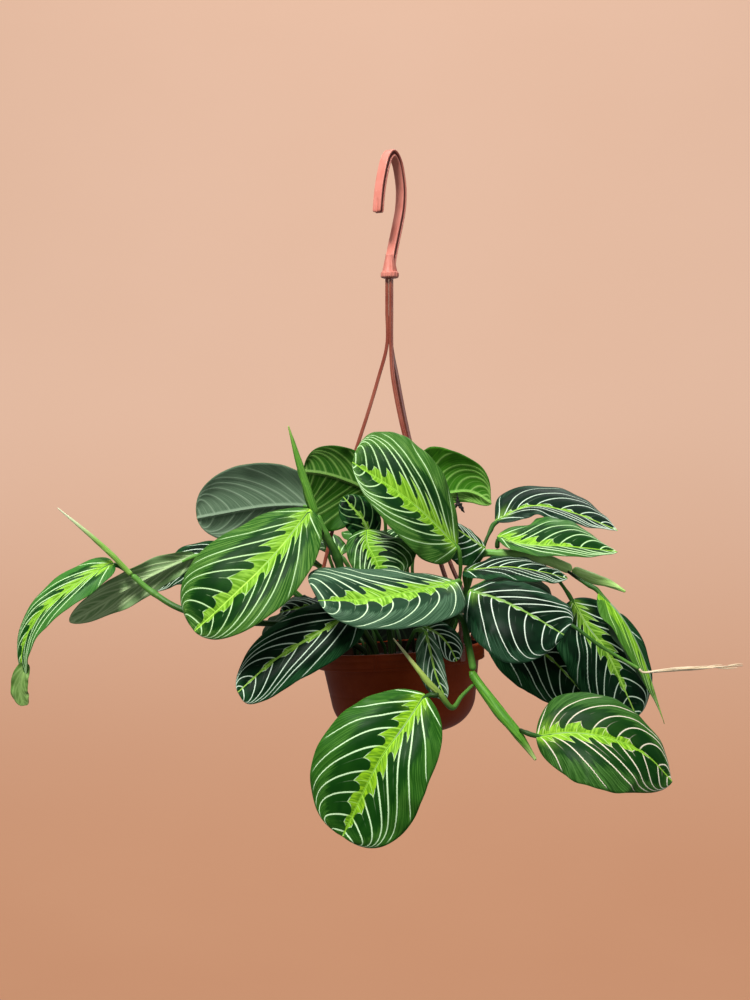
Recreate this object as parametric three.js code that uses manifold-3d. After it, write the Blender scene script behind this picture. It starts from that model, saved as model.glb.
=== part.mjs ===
// A prayer plant (maranta) growing in a small hanging pot.
// Millimetres, +Z up. The origin is the inside of the hook's bend, where the hook hangs.
// The plant's best side looks towards -Y.

import * as THREE from 'three';
import { mergeVertices } from 'three/addons/utils/BufferGeometryUtils.js';
import Module from 'manifold-3d';

const wasm = await Module();
wasm.setup();

const GAP = 0.3;                       // clearance between pieces that rest on each other
const MERGE_DISTANCE = 1e-4;

// Pot
const POT_PLACE = [6, 0, -367];        // centre of the rim's top
const POT_TILT = -4;                   // degrees about Y: the pot hangs with its right side up
const POT_HEIGHT = 63;
const POT_SIDES = 32;
const POT_WALL = 1.6;
const RIM_RADIUS = 63;
const RIM_HEIGHT = 12;
const RIM_SKIN = 1.5;                  // thickness of the skirt that hangs from the rim's top
const RIM_TOP_THICKNESS = 2;
const RIM_DRAFT = 0.4;                 // how far the skirt leans in towards its lower edge
const RIM_BEVEL = 0.8;
const WALL_TOP_RADIUS = 58.3;          // outside, level with the skirt's lower edge
const WALL_TAPER = 9;                  // degrees
const BASE_CORNER_RADIUS = 27;
const BASE_CORNER_STEPS = 4;
const DRAIN_COUNT = 6;
const DRAIN_RADIUS = 3.5;
const DRAIN_CIRCLE_RADIUS = 21;
const DRAIN_CUT_LENGTH = 12;
const DRAIN_SIDES = 12;

// Soil
const SOIL_DEPTH_BELOW_RIM = 9;
const SOIL_CROWN = 2.5;

// Hanger
const HOOK_TURN = 56;                  // degrees between the hook's plane and the X axis
const HOOK_STEM = [-1.7, -2.5];        // x, y of the hanger's stem
const HOOK_BAND = [7, 5.2];            // width and thickness
const HOOK_CHANNEL = [1.5, 2.6];       // depth and width of the channel along each side
const HOOK_CHANNEL_DRAFT = 0.4;
const HOOK_BEVEL = 0.6;
const HOOK_STEPS = 34;
const FOOT_HEIGHT = 14;                // the cone between the hook and its collar
const FOOT_TOP_RADIUS = 3.4;
const FOOT_BASE_RADIUS = 5.7;
const FOOT_IN_COLLAR = 1;
const COLLAR_RADIUS = 6.7;
const COLLAR_HEIGHT = 4.6;
const COLLAR_TOP = -86.5;
const COLLAR_SIDES = 16;
const SOCKET_RADIUS = 4.1;
const SOCKET_DEPTH = 3.4;
const LEG_SECTION = [2.8, 2.6];        // width and thickness
const LEG_BEVEL = 0.8;
const LEG_STEPS = 20;
const LEG_SPREAD = 2.1;                // from the stem's axis to a leg's axis, in the bundle
const BUNDLE_HEIGHTS = [-115, -141];   // where the legs still run straight, side by side
const LEG_END_RISES = [22, 8, 0];      // the last points of a leg, above the rim's top
const TAB_SIZE = [5.6, 2.2, 13];       // width, thickness, height
const TAB_ABOVE_RIM = 3;
const STUD_RADIUS = 1.6;
const STUD_LENGTH = 5;
const STUD_IN_TAB = 1;
const CLIP_HOLE_RADIUS = 2.0;
const CLIP_CUT_LENGTH = 14;
const CLIP_DEPTH = 5.5;                // from the rim's top down to the clip hole
const CLIP_SIDES = 10;

// Leaves and stems
const FOOT_LIFT = 2 * GAP;             // from the soil, or a stem, to the middle of a stalk's foot
const SHEATH_RISE = 5;                 // how far a piece carries on straight from a stem's end
const ROOTED_RISE = 9;                 // straight rise out of the soil
const STEM_SIDES = 6;
const STEM_STEPS_PER_SPAN = 3;
const STALK_RADIUS = 1.3;
const STALK_FOOT_RADIUS = 0.6;
const STALK_FOOT_LENGTH = 2;
const PULVINUS_RADIUS = 1.8;           // the thick joint between a stalk and its blade
const PULVINUS_LENGTH = 9;
const STALK_STATIONS = [0.25, 0.5, 0.75];
const BLADE_THICKNESS = 1.1;
const BLADE_TIP_THICKNESS = 0.66;
const BLADE_TIP_WIDTH = 0.7;
const BLADE_STATIONS = [0.05, 0.17, 0.34, 0.53, 0.72, 0.88, 0.96];
const BLADE_RING = 8;                  // points round a blade or a stalk

// Colour and roughness
const FINISHES = {
  hanger: [0xc9785e, 0.45],
  pot: [0x7a3a22, 0.5],
  soil: [0x1c1410, 0.95],
  stem: [0x5e9a3a, 0.5],
  pale: [0xa5c883, 0.55],
  dry: [0xc9b894, 0.8],
  leaf: [0x2f6b2a, 0.4],
};

const model = new THREE.Group();
model.name = 'prayer_plant';

const vector = (point) => new THREE.Vector3(...point);
const radians = THREE.MathUtils.degToRad;

function addMesh(name, geometry, finish, parent = model) {
  const [color, roughness] = FINISHES[finish];
  const material = new THREE.MeshStandardMaterial({ color, roughness, metalness: 0 });
  const mesh = new THREE.Mesh(geometry, material);
  mesh.name = name;
  parent.add(mesh);
}

// ---- solids -------------------------------------------------------------------------------

function solidOf(geometry) {
  const bare = new THREE.BufferGeometry();
  bare.setAttribute('position', geometry.getAttribute('position').clone());
  if (geometry.index) bare.setIndex(geometry.index.clone());
  const merged = mergeVertices(bare, MERGE_DISTANCE);
  const index = merged.index.array;
  const triangles = [];
  for (let i = 0; i < index.length; i += 3) {
    const [a, b, c] = [index[i], index[i + 1], index[i + 2]];
    if (a !== b && b !== c && c !== a) triangles.push(a, b, c);
  }
  return new wasm.Manifold(new wasm.Mesh({
    numProp: 3,
    vertProperties: new Float32Array(merged.getAttribute('position').array),
    triVerts: new Uint32Array(triangles),
  }));
}

function geometryOf(solid) {
  const mesh = solid.getMesh();
  const geometry = new THREE.BufferGeometry();
  geometry.setAttribute('position', new THREE.BufferAttribute(mesh.vertProperties, 3));
  geometry.setIndex(new THREE.BufferAttribute(mesh.triVerts, 1));
  return geometry;
}

// A closed body through rings of points; each ring runs the same way round.
function loft(rings) {
  const size = rings[0].length;
  const index = [];
  for (let r = 0; r < rings.length - 1; r += 1) {
    for (let i = 0; i < size; i += 1) {
      const a = r * size + i;
      const b = r * size + ((i + 1) % size);
      index.push(a, b, b + size, a, b + size, a + size);
    }
  }
  const last = (rings.length - 1) * size;
  for (let i = 1; i < size - 1; i += 1) {
    index.push(0, i + 1, i);
    index.push(last, last + i, last + i + 1);
  }
  const geometry = new THREE.BufferGeometry().setFromPoints(rings.flat());
  geometry.setIndex(index);
  return geometry;
}

function smoothCurve(points) {
  return new THREE.CatmullRomCurve3(points.map(vector), false, 'catmullrom', 0.5);
}

// An upright cylinder between two heights.
function upright(topRadius, bottomRadius, top, height, sides) {
  const cylinder = new THREE.CylinderGeometry(topRadius, bottomRadius, height, sides);
  return cylinder.rotateX(Math.PI / 2).translate(0, 0, top - height / 2);
}

// ---- pot and soil, in the pot's own frame: the rim's top is at height 0 --------------------

const potFrame = new THREE.Group();
potFrame.position.set(...POT_PLACE);
potFrame.rotation.y = radians(POT_TILT);
potFrame.updateMatrix();
model.add(potFrame);

// Where each leg of the hanger clips to the rim, where it runs in the bundle under the collar
// (both as an angle about the upright axis), and its way down from there.
const LEGS = [
  {
    name: 'hanger_leg_left',
    azimuth: 180,
    bundle: 180,
    way: [[-10.5, -2.5, -167], [-18.6, -2.5, -194], [-26.4, -2.5, -218], [-38.5, -2, -258], [-49, -1, -298]],
  },
  {
    name: 'hanger_leg_front',
    azimuth: -47,
    bundle: -60,
    way: [[0.8, -7, -166], [6.4, -13, -197], [12.5, -19, -221], [24, -29, -262], [36, -38, -306]],
  },
  {
    name: 'hanger_leg_back',
    azimuth: 28,
    bundle: 60,
    way: [[4, 1.5, -166], [10, 5, -197], [16, 9, -221], [30, 17, -262], [45, 24, -306]],
  },
];

const wallSlope = Math.tan(radians(WALL_TAPER));
const wallRadiusAt = (height) => WALL_TOP_RADIUS + (height + RIM_HEIGHT) * wallSlope;

// The rounded foot of the wall, from the base's edge up, moved inwards by `inset`.
function footOutline(inset) {
  const bottom = -POT_HEIGHT + inset;
  const radius = BASE_CORNER_RADIUS - inset;
  const turn = radians(90 - WALL_TAPER);
  const slant = inset / Math.cos(radians(WALL_TAPER));
  const cornerRadius = wallRadiusAt(bottom) - slant;
  const flat = cornerRadius - radius * Math.tan(turn / 2);
  const outline = [];
  for (let i = 0; i <= BASE_CORNER_STEPS; i += 1) {
    const angle = (turn * i) / BASE_CORNER_STEPS;
    const x = flat + radius * Math.sin(angle);
    outline.push(new THREE.Vector2(x, bottom + radius * (1 - Math.cos(angle))));
  }
  return outline;
}

function turned(outline) {
  return new THREE.LatheGeometry(outline, POT_SIDES).rotateX(Math.PI / 2);
}

// A cylinder through the rim's side, from inside its tab inwards.
function clipCylinder(azimuth, radius, length) {
  const cylinder = new THREE.CylinderGeometry(radius, radius, length, CLIP_SIDES).rotateZ(Math.PI / 2);
  cylinder.translate(RIM_RADIUS + GAP + STUD_IN_TAB - length / 2, 0, -CLIP_DEPTH);
  return cylinder.rotateZ(radians(azimuth));
}

function potGeometry() {
  const lipInside = -RIM_TOP_THICKNESS;
  const skirtInside = RIM_RADIUS - RIM_SKIN;
  const outline = [
    new THREE.Vector2(0, -POT_HEIGHT),
    ...footOutline(0),
    new THREE.Vector2(wallRadiusAt(lipInside), lipInside),
    new THREE.Vector2(skirtInside, lipInside),
    new THREE.Vector2(skirtInside - RIM_DRAFT, -RIM_HEIGHT),
    new THREE.Vector2(RIM_RADIUS - RIM_DRAFT, -RIM_HEIGHT),
    new THREE.Vector2(RIM_RADIUS, -RIM_BEVEL),
    new THREE.Vector2(RIM_RADIUS - RIM_BEVEL, 0),
    new THREE.Vector2(wallRadiusAt(0) - POT_WALL, 0),
    ...footOutline(POT_WALL).reverse(),
    new THREE.Vector2(0, -POT_HEIGHT + POT_WALL),
  ];
  let pot = solidOf(turned(outline));
  for (let i = 0; i < DRAIN_COUNT; i += 1) {
    const top = -POT_HEIGHT + DRAIN_CUT_LENGTH / 2;
    const drain = upright(DRAIN_RADIUS, DRAIN_RADIUS, top, DRAIN_CUT_LENGTH, DRAIN_SIDES);
    drain.translate(DRAIN_CIRCLE_RADIUS, 0, 0).rotateZ((i * 2 * Math.PI) / DRAIN_COUNT);
    pot = pot.subtract(solidOf(drain));
  }
  for (const leg of LEGS) {
    pot = pot.subtract(solidOf(clipCylinder(leg.azimuth, CLIP_HOLE_RADIUS, CLIP_CUT_LENGTH)));
  }
  return geometryOf(pot);
}

function soilGeometry() {
  const inset = POT_WALL + GAP;
  const top = -SOIL_DEPTH_BELOW_RIM;
  const edge = wallRadiusAt(top) - inset / Math.cos(radians(WALL_TAPER));
  const outline = [
    new THREE.Vector2(0, -POT_HEIGHT + inset),
    ...footOutline(inset),
    new THREE.Vector2(edge, top),
    new THREE.Vector2(0, top + SOIL_CROWN),
  ];
  return turned(outline);
}

// A point just above the soil, given where it lies in the pot seen from above.
function onSoil(x, y) {
  const edge = wallRadiusAt(-SOIL_DEPTH_BELOW_RIM);
  const rise = SOIL_CROWN * (1 - Math.hypot(x, y) / edge);
  const point = new THREE.Vector3(x, y, -SOIL_DEPTH_BELOW_RIM + rise + FOOT_LIFT);
  return point.applyMatrix4(potFrame.matrix).toArray();
}

// The first two points of a stem or stalk that rises straight out of the soil.
function rooted(x, y) {
  const [footX, footY, footZ] = onSoil(x, y);
  return [[footX, footY, footZ], [footX, footY, footZ + ROOTED_RISE]];
}

// ---- hanger -------------------------------------------------------------------------------

function bandShape([width, thickness], bevel) {
  const [x, y] = [width / 2, thickness / 2];
  const shape = new THREE.Shape();
  shape.moveTo(x, -y + bevel);
  shape.lineTo(x, y - bevel);
  shape.lineTo(x - bevel, y);
  shape.lineTo(-x + bevel, y);
  shape.lineTo(-x, y - bevel);
  shape.lineTo(-x, -y + bevel);
  shape.lineTo(-x + bevel, -y);
  shape.lineTo(x - bevel, -y);
  shape.closePath();
  return shape;
}

// The hook's section: a band with a channel along each side.
function channelShape([width, thickness], bevel, [depth, opening], draft) {
  const [x, y, lip] = [width / 2, thickness / 2, opening / 2];
  const right = [
    [x - bevel, -y], [x, -y + bevel], [x, -lip], [x - depth, -lip + draft],
    [x - depth, lip - draft], [x, lip], [x, y - bevel], [x - bevel, y],
  ];
  const left = right.map(([across, up]) => [-across, -up]);
  return new THREE.Shape([...right, ...left].map((point) => new THREE.Vector2(...point)));
}

function hookGeometry() {
  // The hook's centre line in its own plane, from its tip: how far aside, and its height.
  const line = [
    [15.7, -44], [14.2, -32.8], [11.8, -21.7], [7.8, -9.6], [3.2, -0.7], [-3.1, 2.7], [-9.9, -3],
    [-14, -13.7], [-15.8, -25], [-14.4, -38.2], [-10.7, -50.3], [-6.4, -62.2], [-2.4, -74.1], [0, -83],
  ];
  const section = channelShape(HOOK_BAND, HOOK_BEVEL, HOOK_CHANNEL, HOOK_CHANNEL_DRAFT);
  const band = new THREE.ExtrudeGeometry(section, {
    steps: HOOK_STEPS,
    extrudePath: smoothCurve(line.map(([aside, height]) => [aside, 0, height])),
  });
  const collarBottom = COLLAR_TOP - COLLAR_HEIGHT;
  const footTop = COLLAR_TOP - FOOT_IN_COLLAR + FOOT_HEIGHT;
  const foot = upright(FOOT_TOP_RADIUS, FOOT_BASE_RADIUS, footTop, FOOT_HEIGHT, COLLAR_SIDES);
  const collar = upright(COLLAR_RADIUS, COLLAR_RADIUS, COLLAR_TOP, COLLAR_HEIGHT, COLLAR_SIDES);
  const socketTop = collarBottom + SOCKET_DEPTH;
  const socket = upright(SOCKET_RADIUS, SOCKET_RADIUS, socketTop, 2 * SOCKET_DEPTH, COLLAR_SIDES);
  const hook = solidOf(band).add(solidOf(foot)).add(solidOf(collar)).subtract(solidOf(socket));
  const geometry = geometryOf(hook).rotateZ(Math.PI + radians(HOOK_TURN));
  return geometry.translate(...HOOK_STEM, 0);
}

function legGeometry({ azimuth, bundle, way }) {
  const turn = radians(azimuth);
  const [tabWidth, tabThickness, tabHeight] = TAB_SIZE;
  const outside = RIM_RADIUS + GAP + tabThickness / 2;
  const onRim = (rise) => new THREE.Vector3(outside * Math.cos(turn), outside * Math.sin(turn), rise)
    .applyMatrix4(potFrame.matrix).toArray();
  const x = HOOK_STEM[0] + LEG_SPREAD * Math.cos(radians(bundle));
  const y = HOOK_STEM[1] + LEG_SPREAD * Math.sin(radians(bundle));
  const top = COLLAR_TOP - COLLAR_HEIGHT + SOCKET_DEPTH - GAP;
  const inBundle = [top, ...BUNDLE_HEIGHTS].map((height) => [x, y, height]);
  const strand = new THREE.ExtrudeGeometry(bandShape(LEG_SECTION, LEG_BEVEL), {
    steps: LEG_STEPS,
    extrudePath: smoothCurve([...inBundle, ...way, ...LEG_END_RISES.map(onRim)]),
  });
  const tab = new THREE.BoxGeometry(tabThickness, tabWidth, tabHeight);
  tab.translate(outside, 0, TAB_ABOVE_RIM - tabHeight / 2).rotateZ(turn).applyMatrix4(potFrame.matrix);
  const stud = clipCylinder(azimuth, STUD_RADIUS, STUD_LENGTH).applyMatrix4(potFrame.matrix);
  return geometryOf(solidOf(strand).add(solidOf(tab)).add(solidOf(stud)));
}

// ---- stems --------------------------------------------------------------------------------

// Points along a curve with its direction there and two directions across it, carried back from
// the curve's end without a twist.
function framesAlong(curve, stations, sideAtEnd) {
  const frames = stations.map((t) => ({ point: curve.getPointAt(t), tangent: curve.getTangentAt(t) }));
  const side = sideAtEnd.clone();
  for (const frame of frames.toReversed()) {
    side.addScaledVector(frame.tangent, -side.dot(frame.tangent)).normalize();
    frame.side = side.clone();
    frame.normal = frame.tangent.clone().cross(side);
  }
  return frames;
}

function roundRing({ point, side, normal }, radius, sides) {
  return Array.from({ length: sides }, (_, i) => {
    const angle = (i * 2 * Math.PI) / sides;
    return point.clone()
      .addScaledVector(side, radius * Math.cos(angle))
      .addScaledVector(normal, radius * Math.sin(angle));
  });
}

function radiusAlong(radii, t) {
  const place = t * (radii.length - 1);
  const low = Math.min(Math.floor(place), radii.length - 2);
  return THREE.MathUtils.lerp(radii[low], radii[low + 1], place - low);
}

function stemGeometry({ points, radii }) {
  const steps = STEM_STEPS_PER_SPAN * (points.length - 1);
  const stations = Array.from({ length: steps + 1 }, (_, i) => i / steps);
  const aside = new THREE.Vector3(0.3, 1, 0.2);
  const frames = framesAlong(smoothCurve(points), stations, aside);
  return loft(frames.map((frame, i) => roundRing(frame, radiusAlong(radii, stations[i]), STEM_SIDES)));
}

// Stems, sheaths, rolled young leaves and the flower, by name. Each grows out of the soil or from
// one that is already here.
const stems = {};

function grow(name, finish, radii, points) {
  stems[name] = { finish, radii, points };
}

// The first two points of a piece that carries on from a stem's end, in line with it.
function afterStem(name) {
  const curve = smoothCurve(stems[name].points);
  const [end, direction] = [curve.getPointAt(1), curve.getTangentAt(1)];
  return [GAP, GAP + SHEATH_RISE].map((reach) => end.clone().addScaledVector(direction, reach).toArray());
}

// A point just off a stem's surface, on the side that looks towards `target`.
function besideStem(name, t, target) {
  const { points, radii } = stems[name];
  const curve = smoothCurve(points);
  const middle = curve.getPointAt(t);
  const tangent = curve.getTangentAt(t);
  const out = vector(target).sub(middle);
  out.addScaledVector(tangent, -out.dot(tangent)).normalize();
  return middle.addScaledVector(out, radiusAlong(radii, t) + FOOT_LIFT).toArray();
}

grow('stem_front', 'stem', [2.4, 2.4, 2.3, 2.3, 2.3, 2.6], [
  ...rooted(24, -26), [39, -46, -344], [49, -60, -341], [53, -68, -357], [57, -72, -378],
]);
grow('sheath_front', 'pale', [3.0, 3.6, 4.2, 3.6, 1.0], [
  ...afterStem('stem_front'), [74, -84, -405], [87, -92, -421], [99, -96, -438],
]);
grow('rolled_leaf_front', 'pale', [1.1, 1.5, 2.4, 2.2, 2.0, 0.4], [
  besideStem('sheath_front', 0.12, [46, -84, -398]), [48, -84, -395], [41, -92, -402],
  [33, -95.5, -393], [22, -96, -381], [0, -86, -354],
]);
grow('stem_right', 'stem', [2.3, 2.3, 2.2, 2.4, 3.2, 4.0, 3.8], [
  ...rooted(32, -4), [54, -8, -328], [64, -10, -300], [81, -14, -297], [109, -16, -300], [133, -16, -309],
]);
grow('sheath_right', 'pale', [3.6, 4.3, 4.0, 2.8, 0.8], [
  ...afterStem('stem_right'), [148, -18, -315], [160, -20, -319], [172, -22, -325],
]);
grow('flower_stalk', 'stem', [1.5, 1.5, 1.4, 1.4, 1.3, 1.2, 1.1], [
  ...rooted(44, -8), [72, -20, -342], [96, -34, -337], [126, -48, -346], [149, -56, -362], [176, -59, -378],
]);
grow('flower_bract', 'dry', [1.2, 1.5, 1.6, 1.0, 0.4], [
  ...afterStem('flower_stalk'), [196, -59, -379], [213, -58, -378], [251, -57, -376],
]);
grow('stem_left', 'stem', [2.4, 2.4, 2.4, 2.2, 2.2, 2.2, 2.0], [
  ...rooted(-30, -14), [-62, -30, -350], [-100, -44, -346],
  [-148, -45, -338], [-174, -38, -325], [-190, -35, -312],
]);
grow('rolled_leaf_left', 'pale', [1.9, 2.1, 1.8, 1.3, 0.4], [
  ...afterStem('stem_left'), [-205, -34.5, -297], [-222, -34, -282], [-245, -32, -263],
]);
grow('stem_top', 'stem', [2.6, 2.6, 2.8, 3.2, 3.2, 2.8], [
  ...rooted(-20, -24), [-31, -38, -335], [-40, -46, -299], [-49, -49, -282], [-55, -52, -268],
]);
grow('rolled_leaf_top', 'pale', [2.7, 3.0, 2.9, 2.2, 0.5], [
  ...afterStem('stem_top'), [-61, -53.5, -250], [-67, -54, -232], [-75, -54, -204],
]);

// ---- leaves -------------------------------------------------------------------------------

// The outline of half a blade: where it is widest, how round it is towards the base and towards
// the tip (0.5 is an ellipse, less is blunter), and how far it leans towards the tip.
const USUAL_OUTLINE = [0.48, 0.5, 0.55, 0];

// Degrees by which the inner and the outer half of each side of the blade rise.
const USUAL_LIFT = [12, -14];

function bladeWidth([widest, baseRoundness, tipRoundness], s) {
  const nearBase = s < widest;
  const away = nearBase ? (widest - s) / widest : (s - widest) / (1 - widest);
  return (1 - away * away) ** (nearBase ? baseRoundness : tipRoundness);
}

// Half a blade, from the midrib out: its middle and its edge, each as across, along and up.
function halfBlade(width, lean, [inner, outer]) {
  const half = width / 2;
  const across = half * Math.cos(radians(inner));
  const up = half * Math.sin(radians(inner));
  return {
    middle: [across, half * lean, up],
    edge: [across + half * Math.cos(radians(outer)), width * lean, up + half * Math.sin(radians(outer))],
  };
}

function bladeRing({ point, side, normal, tangent }, left, right, thickness) {
  const place = (sign, [across, along, up], above) => point.clone()
    .addScaledVector(side, sign * across)
    .addScaledVector(tangent, along)
    .addScaledVector(normal, up + above);
  const half = thickness / 2;
  return [
    place(1, left.edge, 0),
    place(1, left.middle, half),
    place(1, [0, 0, 0], half),
    place(-1, right.middle, half),
    place(-1, right.edge, 0),
    place(-1, right.middle, -half),
    place(1, [0, 0, 0], -half),
    place(1, left.middle, -half),
  ];
}

// One leaf with its stalk. `stalk` runs from the leaf's foot to just before the blade, `midrib`
// along the blade, `faces` says where the upper side looks at the blade's base and tip, and
// `widths` are the greatest half widths left and right of the midrib, seen from above.
function leafGeometry({ stalk, midrib, faces, widths, outlines, lift = USUAL_LIFT }) {
  const halves = outlines ?? [USUAL_OUTLINE, USUAL_OUTLINE];
  const [baseFace, tipFace] = faces.map((face) => vector(face).normalize());
  const blade = smoothCurve(midrib);
  const rings = [0, ...BLADE_STATIONS, 1].map((s) => {
    const tangent = blade.getTangentAt(s);
    const normal = baseFace.clone().lerp(tipFace, s);
    normal.addScaledVector(tangent, -normal.dot(tangent)).normalize();
    const frame = { point: blade.getPointAt(s), side: normal.clone().cross(tangent), normal, tangent };
    if (s === 0) return roundRing(frame, PULVINUS_RADIUS, BLADE_RING);
    const [left, right] = halves.map((half, i) => {
      const width = Math.max(widths[i] * bladeWidth(half, s), BLADE_TIP_WIDTH);
      return halfBlade(width, half[3], lift);
    });
    return bladeRing(frame, left, right, s === 1 ? BLADE_TIP_THICKNESS : BLADE_THICKNESS);
  });
  const way = smoothCurve([...stalk, midrib[0]]);
  const length = way.getLength();
  const footEnd = Math.min(STALK_FOOT_LENGTH / length, 0.5);
  const pulvinus = 1 - PULVINUS_LENGTH / length;
  const between = STALK_STATIONS.filter((t) => t > footEnd && t < pulvinus);
  const stations = [0, footEnd, ...between, ...(pulvinus > footEnd ? [pulvinus] : [])];
  const start = blade.getTangentAt(0);
  const startSide = baseFace.clone().addScaledVector(start, -baseFace.dot(start)).normalize().cross(start);
  const frames = framesAlong(way, [...stations, 1], startSide).slice(0, -1);
  const stalkRings = frames.map((frame, i) => {
    if (i === 0) return roundRing(frame, STALK_FOOT_RADIUS, BLADE_RING);
    return roundRing(frame, i === frames.length - 1 ? PULVINUS_RADIUS : STALK_RADIUS, BLADE_RING);
  });
  return loft([...stalkRings, ...rings]);
}

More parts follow.
